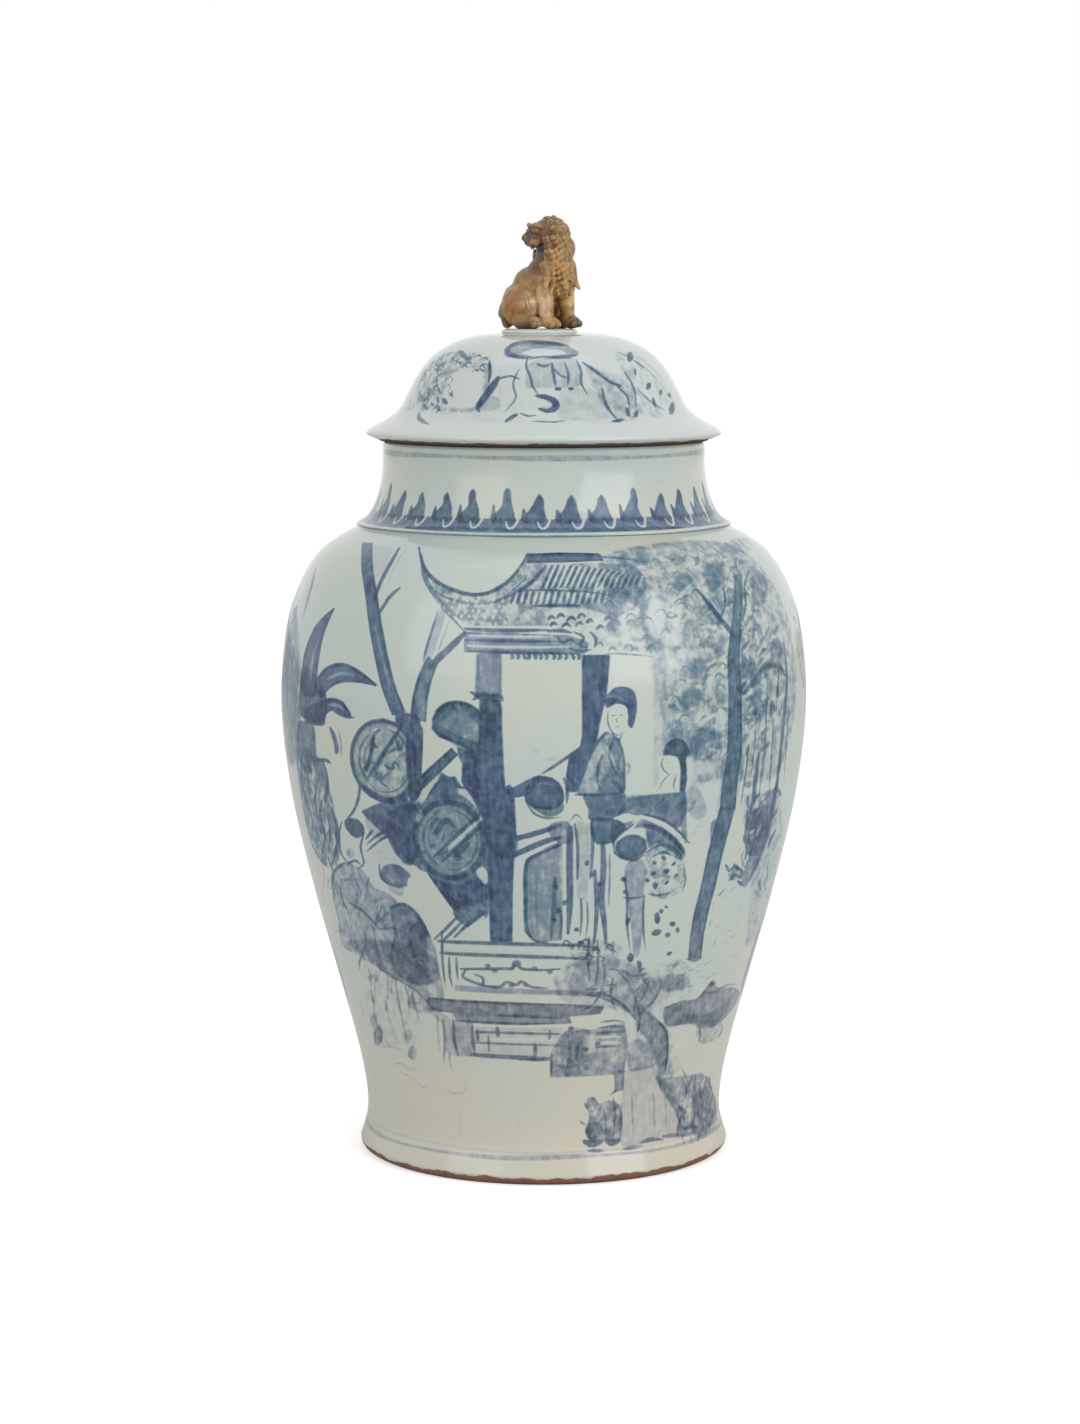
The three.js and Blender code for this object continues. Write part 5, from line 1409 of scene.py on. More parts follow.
        stroke([(x, 44), (x + 0.6, 32), (x + 1, 20)], 1.6, 0.16, 0.4)
    wash([(21, 43), (25, 44.6), (28, 41), (33, 42.6), (38.4, 38), (39, 23), (36, 19.6), (31, 22), (24, 21),
        (20.6, 27), (22.6, 34)], 0.36, 0.85, 1.4, grain=0.8)
    wash([(22, 30), (27.6, 31), (29, 25), (24, 22), (21, 25)], 0.36, 0.6, 1.4)
    strokes([[(34.6, 44), (35.6, 34), (35, 24)], [(38.6, 40), (38.8, 30), (38, 22)], [(30, 38), (31, 30),
        (30.6, 24)]], 1.5, 0.4, 0.4)
    strokes([[(20, 21.6), (24, 20), (29, 21)], [(31, 21.6), (34, 19.8), (38, 21)]], 3.6, 0.62, 0,
        tips=(0.7, 0.6))
    strokes([[(33, 45), (36.6, 47.6)], [(20, 42), (22, 38)], [(18, 32), (21, 30)]], 1.6, 0.4, 0.1)
    wash([(55, 54), (60, 50.6), (70, 49.6), (80, 48), (85, 43), (87.6, 32), (90, 20), (84, 15), (70, 17),
        (68, 27), (64, 36), (59, 44)], 0.38, 0.6, 1.8, smooth=False, grain=0.6)
    wash([(76, 36), (84, 38), (90, 24), (88, 14), (76, 16)], 0.3, 0.95, 2)
    dabs([(62, 48), (82, 46), (88, 18), (70, 20)], 22, 12, 0.34, 0.7, 1.7, slim=0.2)
    stroke([(85.4, 44), (84.6, 40), (86, 36)], 2.6, 0.45, 0.1)
    stroke([(67, 36), (68, 28), (71, 20)], 1.8, 0.42, 0.2)
    blank([(73, 34), (76, 34), (76, 24), (73.6, 24)], tone=0.35, soft=1.6)
    wash([(58, 58), (66, 62), (70, 54), (62, 51)], 0.18, plum, 1.6)
    strokes([[(48, 18), (54, 19), (60, 17.6)], [(60, 19.4), (66, 18.6), (72, 17)], [(40, 16), (50, 16.6)],
        [(22, 17), (30, 16.4)], [(70, 21), (76, 20), (80, 18)]], 2, 0.42, 0)
    wash([(60, 88.6), (67, 90), (77, 90), (80, 94), (84.4, 98.8), (88, 94.4), (97, 90.6), (101, 84),
        (96, 77), (86, 72), (80, 76), (70, 78), (61, 79)], 0.44, 0.95, 1.4, grain=0.3)
    wash([(62, 88), (74, 86), (76, 79), (64, 80)], 0.22, 0.6, 1.8)
    strokes([[(60, 89), (68, 90.8), (77, 90.6), (84.4, 99)], [(78, 76), (79, 70), (78, 66)]], 1.7, 0.46, 0.2)
    spot((84.6, 97.4), 4, 3, 0.5, 0.1, soft=1.2)
    wash([(77, 76), (88, 76), (92, 68), (88, 64), (79, 65)], 0.26, 0.1, 1.8, grain=0.4)
    dabs([(56, 116), (78, 114), (98, 110), (98, 92), (78, 100), (62, 96)], 20, 5, 0.2, 0.3, 0.3, slim=0.3)
    stroke([(80, 94), (86, 92), (92, 94), (98, 92)], 1.6, 0.36, 0.4)


# A far hill in a pale wash with a few ridge lines down its sides
def hill(x, z, across, tall, tone):
    half = across / 2
    wash([(x - half, z), (x - half * 0.6, z + tall * 0.55), (x - half * 0.1, z + tall), (x + half * 0.4,
        z + tall * 0.5), (x + half, z)], tone, 0.5, 1.8, smooth=False)
    stroke([(x - half, z), (x - half * 0.6, z + tall * 0.55), (x - half * 0.1, z + tall), (x + half * 0.3,
        z + tall * 0.6), (x + half, z + 1)], 1.1, tone + 0.25, 0.3)
    for share in (-0.3, 0.05, 0.3):
        stroke([(x + share * half, z + tall * (0.85 - abs(share))), (x + share * half * 1.5,
            z + tall * 0.35)], 1, tone + 0.12, 0.3)


# The back: hills over water, a pierced rock with bamboo, a railing and reeds
def lakeShore():
    painter(hue=0.45)
    for x, z, across, tall, tone in (
            (-34, 262, 46, 26, 0.2), (8, 262, 60, 38, 0.26), (44, 262, 40, 22, 0.18)):
        hill(x, z, across, tall, tone)
    strokes([[(-62, 262), (-30, 260.6), (6, 262), (40, 260.4), (64, 262)], [(-50, 256), (-36, 257),
        (-20, 255.6)], [(4, 255), (20, 256.4), (38, 254.6)], [(-30, 249), (-18, 250), (-6, 248.6)],
        [(30, 247), (44, 248), (54, 246.6)]], 1.1, 0.34, 0.3)
    for x, z in ((-22, 304), (-12, 308), (-30, 310)):
        strokes([[(x - 4, z + 2), (x - 1.4, z + 1.6), (x, z)], [(x, z), (x + 1.8, z + 2.4),
            (x + 4.4, z + 2.4)]], 1.1, 0.6, 0.3)
    for turn in (0, 1.6, 3.3, 5):
        stroke([(36 + 8 * math.cos(turn + t), 302 + 8 * math.sin(turn + t)) for t in (0, 0.5, 1, 1.5)],
            1, 0.4, 0.3)
    strokes([[(10, 296), (22, 298), (30, 294), (44, 296), (56, 292)], [(16, 291), (28, 289.6), (40, 291)]],
        1.6, 0.26, 0.6)

    rock = [(-46, 122), (-50, 146), (-44, 166), (-50, 188), (-38, 206), (-22, 214), (-8, 204), (-12, 186),
        (-2, 168), (-8, 144), (-4, 122)]
    wash(rock, 0.42, 0.6, 1.4, grain=0.5)
    stroke([*rock], 1.9, 0.72, 0.4)
    for x, z, across, tall in ((-30, 190, 10, 12), (-20, 166, 8, 11), (-36, 150, 8, 13), (-18, 138, 9, 9)):
        blank([(x - across / 2, z), (x, z + tall / 2), (x + across / 2, z + 1), (x + 1, z - tall / 2)])
        stroke([(x - across / 2, z), (x, z + tall / 2), (x + across / 2, z + 1), (x + 1, z - tall / 2),
            (x - across / 2, z)], 1.3, 0.66, 0.3)
    dabs([(-46, 126), (-44, 196), (-22, 208), (-6, 180), (-8, 126)], 26, 7, 0.6, 0.3, 1.2)
    for x, bend, low in ((2, 4, 128), (12, 7, 126), (22, 12, 128)):
        for joint in range(6):
            z = low + 19 * joint
            sway = bend * (joint / 6) ** 2
            stroke([(x + sway, z), (x + sway + bend / 9, z + 17.4)], 2.8, 0.5, 0.4, tips=(0.9, 0.9))
            stroke([(x + sway - 2.2, z - 0.8), (x + sway + 2.4, z - 0.6)], 1.2, 0.7, 0.3)
    for x, z in scatter([(-4, 176), (2, 236), (34, 246), (48, 214), (34, 172)], 20):
        for lean in (-2.6, -1.9, -1.2, -0.5):
            reach = dice.uniform(8, 12)
            stroke([(x, z), (x + 0.5 * reach * math.cos(lean), z + 0.5 * reach * math.sin(lean) + 0.8),
                (x + reach * math.cos(lean), z + reach * math.sin(lean))], 2.2, dice.uniform(0.5, 0.75),
                tips=(0.3, 0.1))
    wash([(-70, 122), (-40, 126), (0, 124), (44, 127), (74, 121), (72, 108), (40, 104), (0, 107),
        (-40, 103), (-70, 108)], 0.34, 0.7, 1.6, grain=0.5)
    stroke([(-72, 122), (-40, 126), (0, 124), (44, 127), (74, 121)], 1.6, 0.66, 0.4)
    for x in (-60, -36, 28, 50, 68):
        for lean in (-0.5, -0.15, 0.2, 0.55):
            stroke([(x, 124), (x + 5 * lean, 131), (x + 15 * lean, 136 - 4 * abs(lean))], 1.3, 0.6, 0.3)
    wash([(-66, 98), (66, 98), (66, 93), (-66, 93)], 0.5, 0.5, smooth=False)
    strokes([[(-66, 98), (0, 98.6), (66, 98)], [(-66, 92.6), (0, 93), (66, 92.6)], [(-64, 76), (0, 76.6),
        (64, 76)]], 1.5, 0.74, 0.4)
    for k in range(7):
        x = -60 + 20 * k
        strokes([[(x - 1.6, 93), (x - 1.6, 76)], [(x + 1.6, 93), (x + 1.6, 76)]], 1.2, 0.66, 0.4)
        if k < 6:
            strokes([[(x + 4, 90), (x + 16, 90), (x + 16, 80), (x + 4, 80), (x + 4, 90)], [(x + 8, 88),
                (x + 12, 85), (x + 8, 82)], [(x + 12, 88), (x + 8, 85), (x + 12, 82)]], 1, 0.5, 0.3)
    for z, count in ((66, 5), (58, 4), (48, 5), (38, 3)):
        for k in range(count):
            x = -60 + 120 * (k + dice.uniform(0.1, 0.9)) / count
            strokes([[(x - 7, z), (x - 2, z + 1.4), (x + 3, z), (x + 8, z + 1)]], 1, 0.32, 0.4)


# Foliage over rocks, where the garden runs on between the front and the back
def sideBank(tone):
    painter(hue=0.4)
    for x, z, across, tall in (
            (-20, 262, 40, 46), (18, 268, 42, 50), (0, 288, 46, 30), (-6, 240, 34, 24), (26, 244, 26, 28)):
        spot((x, z), across, tall, 0.2, 0.2, 0.3, soft=3.4, pool=0.05, grain=0.5)
    for x, z, across, tall in (
            (-22, 270, 9, 22), (20, 262, 8, 26), (10, 286, 12, 7), (-12, 240, 10, 8), (28, 288, 7, 12)):
        spot((x, z), across, tall, 0.7, wipe=True, soft=2.6)
    limb([(2, 300), (0, 268), (3, 236), (-1, 200), (2, 160), (0, 122)], 4.4, 7, 0.54, 0.4, 0.62)
    strokes([[(1, 262), (9, 274), (15, 292)], [(1, 240), (-9, 254), (-16, 274)]], 2.4, 0.6, 0.3)
    dabs([(-34, 284), (-30, 240), (-4, 230), (32, 238), (36, 282), (0, 300)], 64, 5, tone, 0.2, 0.9)
    wash([(-26, 84), (-30, 112), (-14, 134), (6, 138), (22, 122), (28, 98), (20, 80)], 0.44, 0.7, 1.6,
        grain=0.6)
    stroke([(-27, 84), (-30, 112), (-14, 134), (6, 138), (22, 122), (28, 98)], 1.7, 0.68, 0.4)
    dabs([(-26, 90), (-20, 126), (18, 122), (22, 88)], 16, 7, 0.6, 0.4, 1.1)
    strokes([[(-12, 76), (-4, 78), (4, 76)], [(4, 66), (14, 68), (22, 65)], [(-22, 60), (-12, 61),
        (-4, 59)]], 1.1, 0.34, 0.4)


# The rest of the way round: the front's garden and rocks meet their like, and a lake lies behind
def paintAround():
    for facing, tone in ((90, 0.36), (-90, 0.44)):
        painter(facing=facing, flip=1)
        sideBank(tone)
    painter(facing=180, flip=-1)
    bananaLeaves()
    leftRocks()
    leftTree()
    rightGarden()
    lakeShore()
    painter(facing=0, flip=1)


def paintFront():
    bananaLeaves()
    leftRocks()
    hangingMoss()
    roundDiscs()
    leafCap()
    leftTree()
    rightGarden()
    pavilionRoof()
    pavilionWalls()
    tableAndCloth()
    darkDrapes()
    lady()
    attendant()
    terrace()


vaseSheet = makeSheet(vaseShape["body"] + vaseShape["neck"][1:], vaseShape["paperRadius"])
bodyJoint, neckJoint = vaseShape["bodyJoint"], vaseShape["neckJoint"]
joints = np.interp((bodyJoint, neckJoint), vaseSheet["height"], vaseSheet["run"])
vaseSheet["joints"] = tuple(joints.tolist())
painter(sheet=vaseSheet)
neckFlames(flames)
paintFront()
paintAround()
ringLine(16.6, 1.5, 0.16, 0.9, 0.4)
ringLine(13.6, 2.2, 0.3, 0.4, 0.5)
print("vase painted:", len(vaseSheet["marks"]), "marks")


# Row heights on the paper: a steady step between the breaks, closer where the outline bends
def rowsBetween(sheet, breaks, coarse, fine, fineAbove):
    rows = [breaks[0]]
    for stop in breaks[1:]:
        start = rows[-1]
        step = fine if np.interp((start + stop) / 2, sheet["run"], sheet["height"]) > fineAbove else coarse
        count = max(1, round((stop - start) / step))
        rows += [start + (stop - start) * (i + 1) / count for i in range(count - 1)] + [stop]
    return rows


bend = float(np.interp(vaseShape["fineAbove"], vaseSheet["height"], vaseSheet["run"]))
vaseEnd = float(vaseSheet["run"][-1])
lowJoint, highJoint = vaseSheet["joints"]
vaseRows = rowsBetween(vaseSheet, [0.0, lowJoint, bend, highJoint, vaseEnd], vaseShape["rowStep"],
                       vaseShape["fineStep"], vaseShape["fineAbove"])
vaseSkin = paintedSkin(vaseSheet, vaseShape["columns"], vaseRows)
print("vase skin:", len(vaseSkin["spots"]), "points", len(vaseSkin["faces"]), "triangles")

lip, foot = ([tuple(p) for p in curveThrough(vaseShape[part], 3)[1:]] for part in ("lip", "foot"))
inside = [tuple(p) for p in curveThrough(vaseShape["inside"], 3)]
innerNeck = (88, neckJoint)
innerBody = (float(np.interp(-bodyJoint, [-p[1] for p in inside], [p[0] for p in inside])), bodyJoint)


# The inner wall's points between two heights, and not too near to either
def innerWall(low, high, clear=0.6):
    return [p for p in inside if low + clear < p[1] < high - clear]


sections = {  # node: (where it starts and ends along the outline, rings below it, rings above it)
    "lower_body": (0.0, lowJoint, [*foot, (25, 8), (0, 8)],
                   [innerBody, *innerWall(0, bodyJoint), (25, 17), (0, 17)]),
    "upper_body": (lowJoint, highJoint, [], [innerNeck, *innerWall(bodyJoint, neckJoint), innerBody]),
    "neck": (highJoint, vaseEnd, [], [*lip, *innerWall(neckJoint, inside[0][1]), innerNeck]),
}
for node, (low, high, ringsBelow, ringsAbove) in sections.items():
    made = shellPiece(node + "_painted", vaseSheet, vaseSkin, low, high, ringsBelow, ringsAbove,
                      vaseShape["columns"], vaseGlaze)
    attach(made, "vase")
    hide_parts(node)
print("vase finished")


# The cover: dome, flange and the lion's plinth

coverShape = {
    "dome": [(90.8, 371.2), (90, 372.5), (84.8, 375.4), (78.2, 379.2), (73, 384.2), (69, 391.8),
             (63.3, 402), (56, 410.5), (46.5, 416.4), (34.5, 420.2), (20.4, 421.5)],
    "under": [(90.8, 371.2), (90.5, 370.3), (89.2, 369.6), (83.8, 367.5), (83, 367.3), (67.2, 367.3),
              (67, 367.5), (67, 376.3), (66, 386), (60.6, 396.5), (53.2, 405.2), (44, 411.4),
              (33.6, 415.2), (20, 416.5)],
    "flange": [(67.8, 349.3), (71.5, 349.3), (72.2, 349.6), (72.5, 350.6), (72.5, 367), (67, 367),
               (67, 350.4), (67.3, 349.6)],
    "plinth": [(0, 421.2), (18.9, 421.2), (19.3, 421.6), (19.4, 422.2), (19, 422.9), (18, 423.4),
               (16.6, 423.7), (0, 423.7)],
    "plinthOffset": -2.2,
    "paperRadius": 60.0,
    "columns": 160,
    "rowStep": 2.2,
}


# Seated figures among leaves and clouds, in thin outlines with a few deep blue touches
def coverFigures():
    wash([(-30, 44), (-12, 50), (14, 50), (30, 46), (42, 36), (40, 16), (20, 13), (-10, 14), (-30, 18)],
        0.12, 0.1, soft=3, pool=0)
    wash([(-78, 44), (-70, 56), (-52, 58), (-30, 54), (-26, 40), (-28, 24), (-44, 20), (-62, 22),
        (-74, 32)], 0.2, 0.15, soft=2.5, pool=0, grain=0.8)
    wash([(40, 52), (52, 58), (66, 44), (72, 26), (58, 18), (42, 20)], 0.13, 0.3, soft=3, pool=0, grain=0.5)
    wash([(20, 50), (30, 44), (40, 40), (40, 20), (30, 16), (24, 32)], 0.13, 0.1, soft=2, pool=0, grain=0.3)
    blank([(-48, 42), (-36, 46), (-29, 40), (-29, 26), (-40, 24), (-48, 28)], soft=2, tone=0.8)
    wash([(-8, 36), (-7, 50), (2, 53), (16, 52), (17, 38), (10, 35.6), (0, 35.6)], 0.12, 0, soft=1,
        pool=0.6)
    wash([(8, 34), (24, 33), (26, 18), (7, 18)], 0.09, 0, soft=1.4, pool=0.3)
    wash([(-27, 30), (-20, 30), (-19, 24), (-27, 23)], 0.14, 0, soft=1)
    wash([(16, 63), (8, 68), (-8, 70), (-20, 68), (-23, 61), (-19, 54.6), (-8, 53), (8, 53), (18, 54.6),
        (19.6, 58.6)], 0.3, plum, soft=1.4)
    blank([(-12, 57), (-6, 60.6), (4, 60.6), (12, 58), (8, 55), (-4, 54.6)], tone=0.9, soft=2)
    stroke([(15.4, 64), (8, 66.6), (-4, 68.6), (-14, 68.6), (-20, 66)], 5.4, 0.5, 0.7, tips=(0.4, 0.9),
        soft=1.6)
    stroke([(-19, 67), (-22, 61.5), (-20, 56), (-13, 54)], 3.6, 0.5, 0.6, tips=(0.7, 0.5), soft=1.4)
    stroke([(-17, 54.6), (-12, 53.6), (-6, 53.8)], 2.4, 0.5, 0.5, soft=1.2)
    stroke([(2, 53.8), (9, 54), (17.6, 55.4)], 2.6, 0.5, 0.6, tips=(0.5, 0.6), soft=1.2)
    stroke([(-8.6, 54), (-8.8, 48), (-6.4, 42), (-5, 36), (-1.6, 31)], 1.2, 0.59, 0.2)
    stroke([(17, 52), (18.2, 45), (17, 38), (19, 32)], 1.2, 0.56, 0.2)
    stroke([(-8, 52), (-1, 54.4), (8, 54), (16.6, 52.4)], 1.1, 0.45, 0.2)
    stroke([(-3.4, 49.4), (0, 47.8), (3, 49.4)], 1.4, 0.63, 0.4)
    stroke([(4, 50), (4.6, 43), (5.2, 36.6)], 1.5, 0.63, 0.2)
    stroke([(10.4, 50), (11.6, 44), (10.8, 37)], 1.2, 0.53, 0.2)
    stroke([(5.4, 46), (8, 42), (12, 41)], 1, 0.42, 0.2)
    spot((6.2, 34.8), 3, 2, 0.75, 0.5)
    spot((12, 35), 2.6, 2, 0.7, 0.6)
    stroke([(-3, 31), (0.6, 30.6), (4.6, 28), (4.6, 24.4), (1.4, 22.8), (-1.6, 24)], 2.9, 0.86, plum,
        tips=(0.5, 0.5))
    stroke([(-12, 46), (-14, 38), (-12, 30), (-16, 22)], 1, 0.42, 0.2)
    stroke([(-29, 51), (-26.4, 44), (-25.8, 38)], 1.6, 0.77, 0.3)
    stroke([(-21.6, 41), (-23.4, 36), (-26.6, 29), (-28, 24)], 3.7, 0.86, 0.9, tips=(0.5, 0.3))
    stroke([(-27.6, 29), (-28.8, 25), (-26.6, 21.6)], 1.8, 0.6, 0)
    stroke([(-21, 40), (-16, 42), (-11, 40)], 1.1, 0.49, 0.2)
    stroke([(-11, 20.6), (-13, 18.4), (-14.6, 15.4)], 2.2, 0.7, 0.4, tips=(0.7, 0.4))
    stroke([(-9.6, 21.6), (-6, 19.6), (-3, 20.4)], 1.1, 0.49, 0.3)
    stroke([(-4, 16), (4, 15.4), (8, 16.6)], 1.2, 0.56, 0.7)
    stroke([(20, 50.4), (25.6, 44.4), (31, 38.6), (36.4, 36)], 1.9, 0.56, 0.3, tips=(0.5, 0.7))
    stroke([(26.6, 35), (26.6, 27), (28.6, 20), (29.4, 16)], 1.4, 0.59, 0.2)
    stroke([(34.6, 36), (38.4, 30), (37.6, 23)], 1.2, 0.56, 0.2)
    stroke([(42, 44), (43.6, 34), (41.4, 24)], 1.1, 0.45, 0.2)
    stroke([(27, 15), (31.6, 16.6)], 2.2, 0.72, 0.5, tips=(0.6, 0.6))
    stroke([(35.4, 19), (36.6, 24)], 2, 0.66, 0.3, tips=(0.6, 0.4))
    stroke([(38.6, 18.6), (41, 22)], 1.9, 0.66, 0.5, tips=(0.6, 0.4))
    stroke([(49, 50.6), (53, 54), (57.6, 57)], 3.2, 0.66, 0.4, tips=(0.6, 0.3))
    for start, stop, width in (
            ((52, 34), (56, 37), 2.4), ((52.6, 24.6), (53.6, 29), 2), ((60, 31), (63.6, 33), 2.2),
            ((67, 29.4), (70, 30.6), 2.2), ((60.4, 19.4), (69, 25.6), 3), ((48, 42), (50, 46), 1.2)):
        stroke([start, stop], width, 0.6, 0.35, tips=(0.6, 0.4))
    strokes([[(46, 58), (54, 50), (60, 44), (66, 34)], [(58, 56), (64, 48), (70, 38)],
        [(46, 34), (50, 28), (58, 22)]], 1, 0.35, 0.2)
    stroke([(-57, 58.6), (-50, 55.6), (-44, 52), (-41, 52)], 2.6, 0.55, 0.4, tips=(0.4, 0.4))
    stroke([(-48, 28.6), (-44.6, 26)], 2.2, 0.62, 0.3, tips=(0.7, 0.5))
    stroke([(-60, 25), (-55, 22.6)], 1.8, 0.5, 0.3)
    stroke([(-59, 18.4), (-54, 15), (-47, 11.6)], 2.4, 0.46, 0.6, tips=(0.5, 0.3))
    for _ in range(44):
        x, z = dice.uniform(-76, -44), dice.uniform(20, 56)
        if dice.random() < 0.5:
            stroke([(x - 2, z), (x, z + 2.4), (x + 2.4, z + 0.6), (x + 1, z - 2)], 0.8,
                dice.uniform(0.25, 0.5), 0.15)
        else:
            stroke([(x, z), (x + dice.uniform(2, 4), z - dice.uniform(1, 3))], 1.1,
                dice.uniform(0.25, 0.5), 0.2)
    for _ in range(9):
        x, z = dice.uniform(-44, -30), dice.uniform(44, 54)
        stroke([(x - 2, z), (x, z + 1.6), (x + 2.2, z)], 1, 0.49, 0.2)


def paintCover():
    ringLineAt(89.4, 0.5, 0.35, teal)
    for facing in (0, 180):
        painter(facing=facing, hue=0.3)
        coverFigures()
    painter(facing=0, flip=1, hue=0.3)


# A plain line round the cover's rim, at a run along its outline
def ringLineAt(run, width, tone, hue):
    across = roundPaper(240, 2)
    line, half = np.stack([across, np.full(len(across), run)], 1), np.full(len(across), width / 2)
    addMark("stroke", line, tone, hue, 0.6, half=half, wipe=False)


coverSheet = makeSheet(coverShape["dome"], coverShape["paperRadius"])
painter(sheet=coverSheet, unrolled=coverShape["paperRadius"], facing=0)
paintCover()
painter(unrolled=None)
coverEnd = float(coverSheet["run"][-1])
coverRows = rowsBetween(coverSheet, [0.0, coverEnd], coverShape["rowStep"], coverShape["rowStep"], 0)
coverSkin = paintedSkin(coverSheet, coverShape["columns"], coverRows)
# On the cover the bare clay under the rim's edge is darker than the vase's: its own brown, with painted shade
# for the shadow under the rim
coverGlaze = glazedPorcelain("cover_painted_porcelain_glaze", {
    **glaze, "ground": "#c5cdc9", "groundCool": "#c3c6d0", "groundWarmAndPaintedLight": "#cbc7bf", "footEdge": 369.05,
    "footWaver": 0.4, "clay": "#6a4f3d", "clayDarkAndShade": "#2c1d16"}, warmthAndPaintedLight=0.3)
under = [tuple(p) for p in curveThrough(coverShape["under"], 2)[1:]]
dome = shellPiece("cover_dome_painted", coverSheet, coverSkin, 0.0, coverEnd, [*under, (0, 416.5)],
                  [(10, 421.5), (0, 421.5)], coverShape["columns"], coverGlaze)
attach(dome, "cover")
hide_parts("cover_dome")


# A plain solid turned from an outline that closes on itself or on the axis
def turnedPiece(name, outline, material, offset=0.0, sides=128):
    shape = bmesh.new()
    rings = []
    for radius, height in outline:
        if radius == 0:
            rings.append([shape.verts.new((offset, 0, height))])
        else:
            rings.append([shape.verts.new((offset + radius * math.sin(math.tau * k / sides),
                                          -radius * math.cos(math.tau * k / sides), height))
                          for k in range(sides)])
    pairs = list(zip(rings, rings[1:]))
    if outline[0][0] > 0:
        pairs.append((rings[-1], rings[0]))
    for low, high in pairs:
        for k in range(sides):
            corners = [low[k % len(low)], low[(k + 1) % len(low)],
                       high[(k + 1) % len(high)], high[k % len(high)]]
            shape.faces.new(list(dict.fromkeys(corners)))
    bmesh.ops.scale(shape, vec=(millimetre,) * 3, verts=shape.verts)
    mesh = meshFrom(shape, name)
    mesh.polygons.foreach_set("use_smooth", np.ones(len(mesh.polygons), bool))
    mesh.set_sharp_from_angle(angle=math.radians(50))
    mesh.materials.append(material)
    return addObject(name, mesh)


def meshFrom(shape, name):
    mesh = bpy.data.meshes.new(name)
    shape.to_mesh(mesh)
    shape.free()
    return mesh


# Unglazed stoneware: matt, toasted buff in patches, with dark iron specks and a fine sandy grain
def firedClay(name):
    made, tree = newMaterial(name)
    place = addNode(tree, "ShaderNodeTexCoord", out="Object")
    colour = layered(tree, linear("#c9b197"), (
        (blotches(tree, place, 14, 0.35, 0.7, detail=4, rough=0.6), "#a77d5c"),
        (blotches(tree, place, 1.2, 0.68, 0.75, 0, 0.6, 1), "#5e4331")))
    sand = addNode(tree, "ShaderNodeTexNoise", {"Vector": place, "Scale": 1 / (0.8 * millimetre),
                                                "Detail": 3})
    grain = addNode(tree, "ShaderNodeBump", {"Height": sand, "Distance": 0.0002, "Strength": 0.7})
    shader = addNode(tree, "ShaderNodeBsdfPrincipled", {"Base Color": colour, "Roughness": 0.85,
                                                        "Normal": grain})
    addNode(tree, "ShaderNodeOutputMaterial", {"Surface": shader})
    return made


flange = turnedPiece("cover_flange_clay", coverShape["flange"], firedClay("unglazed_stoneware_clay"))
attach(flange, "cover")
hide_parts("cover_flange")
plinth = turnedPiece("finial_plinth_glazed", coverShape["plinth"], coverGlaze, coverShape["plinthOffset"], 96)
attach(plinth, "cover")
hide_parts("finial_plinth")
print("cover finished")


# The lion on the cover, built up from pressed lumps of clay as a modeller would, then gone over in detail

lion = {
    "ground": 424.0,  # mm
    "size": 1.065,
    "heading": -35,  # degrees: which way the body faces
    "gaze": -163,  # and which way the head is turned
    "headCentre": (3.2, -1.0, 43.2),
    "nod": 8,
    "firstGrain": 0.5,  # mm: how finely the plain lumps are blended
    "finalGrain": 0.36,
    "curlTurns": 1.5,
    "curlRelief": 0.5,
    "lockLength": 9.5,
    "curls": {"size": 1.9, "variation": 0.12, "spin": 3.1, "seed": 8},
    "locks": {"size": 1.05, "variation": 0.3, "spin": 0.42, "seed": 5},
    "gold": "#a67c3a",
}


def turnedAbout(degrees, offset=(0, 0, 0), nod=0):
    turn = Matrix.Rotation(math.radians(degrees), 4, "Z") @ Matrix.Rotation(math.radians(nod), 4, "Y")
    return Matrix.Translation(offset) @ turn


def ballInto(shape, place, centre, sizes, pitch=0.0, fine=4):
    matrix = place @ Matrix.Translation(centre) @ Matrix.Rotation(pitch, 4, "Y")
    matrix = matrix @ Matrix.Diagonal((*sizes, 1))
    bmesh.ops.create_icosphere(shape, subdivisions=fine, radius=1, matrix=matrix)


# A tapered roll of clay with round ends
def rollInto(shape, place, start, startRadius, end, endRadius):
    start, end = Vector(start), Vector(end)
    steps = max(6, int((end - start).length / 1.2))
    for i in range(steps + 1):
        share = i / steps
        radius = startRadius + (endRadius - startRadius) * share
        ballInto(shape, place, start.lerp(end, share), (radius,) * 3, fine=3)


# The lumps of a mesh melted into one skin
def blended(mesh, grain, smoothing, factor=0.5):
    holder = addObject("blending", mesh)
    remesh = holder.modifiers.new("melt", "REMESH")
    remesh.mode = "VOXEL"
    remesh.voxel_size = grain
    if smoothing:
        smooth = holder.modifiers.new("smooth", "SMOOTH")
        smooth.iterations = smoothing
        smooth.factor = factor
    evaluated = holder.evaluated_get(bpy.context.evaluated_depsgraph_get())
    made = bpy.data.meshes.new_from_object(evaluated)
    bpy.data.objects.remove(holder)
    return made


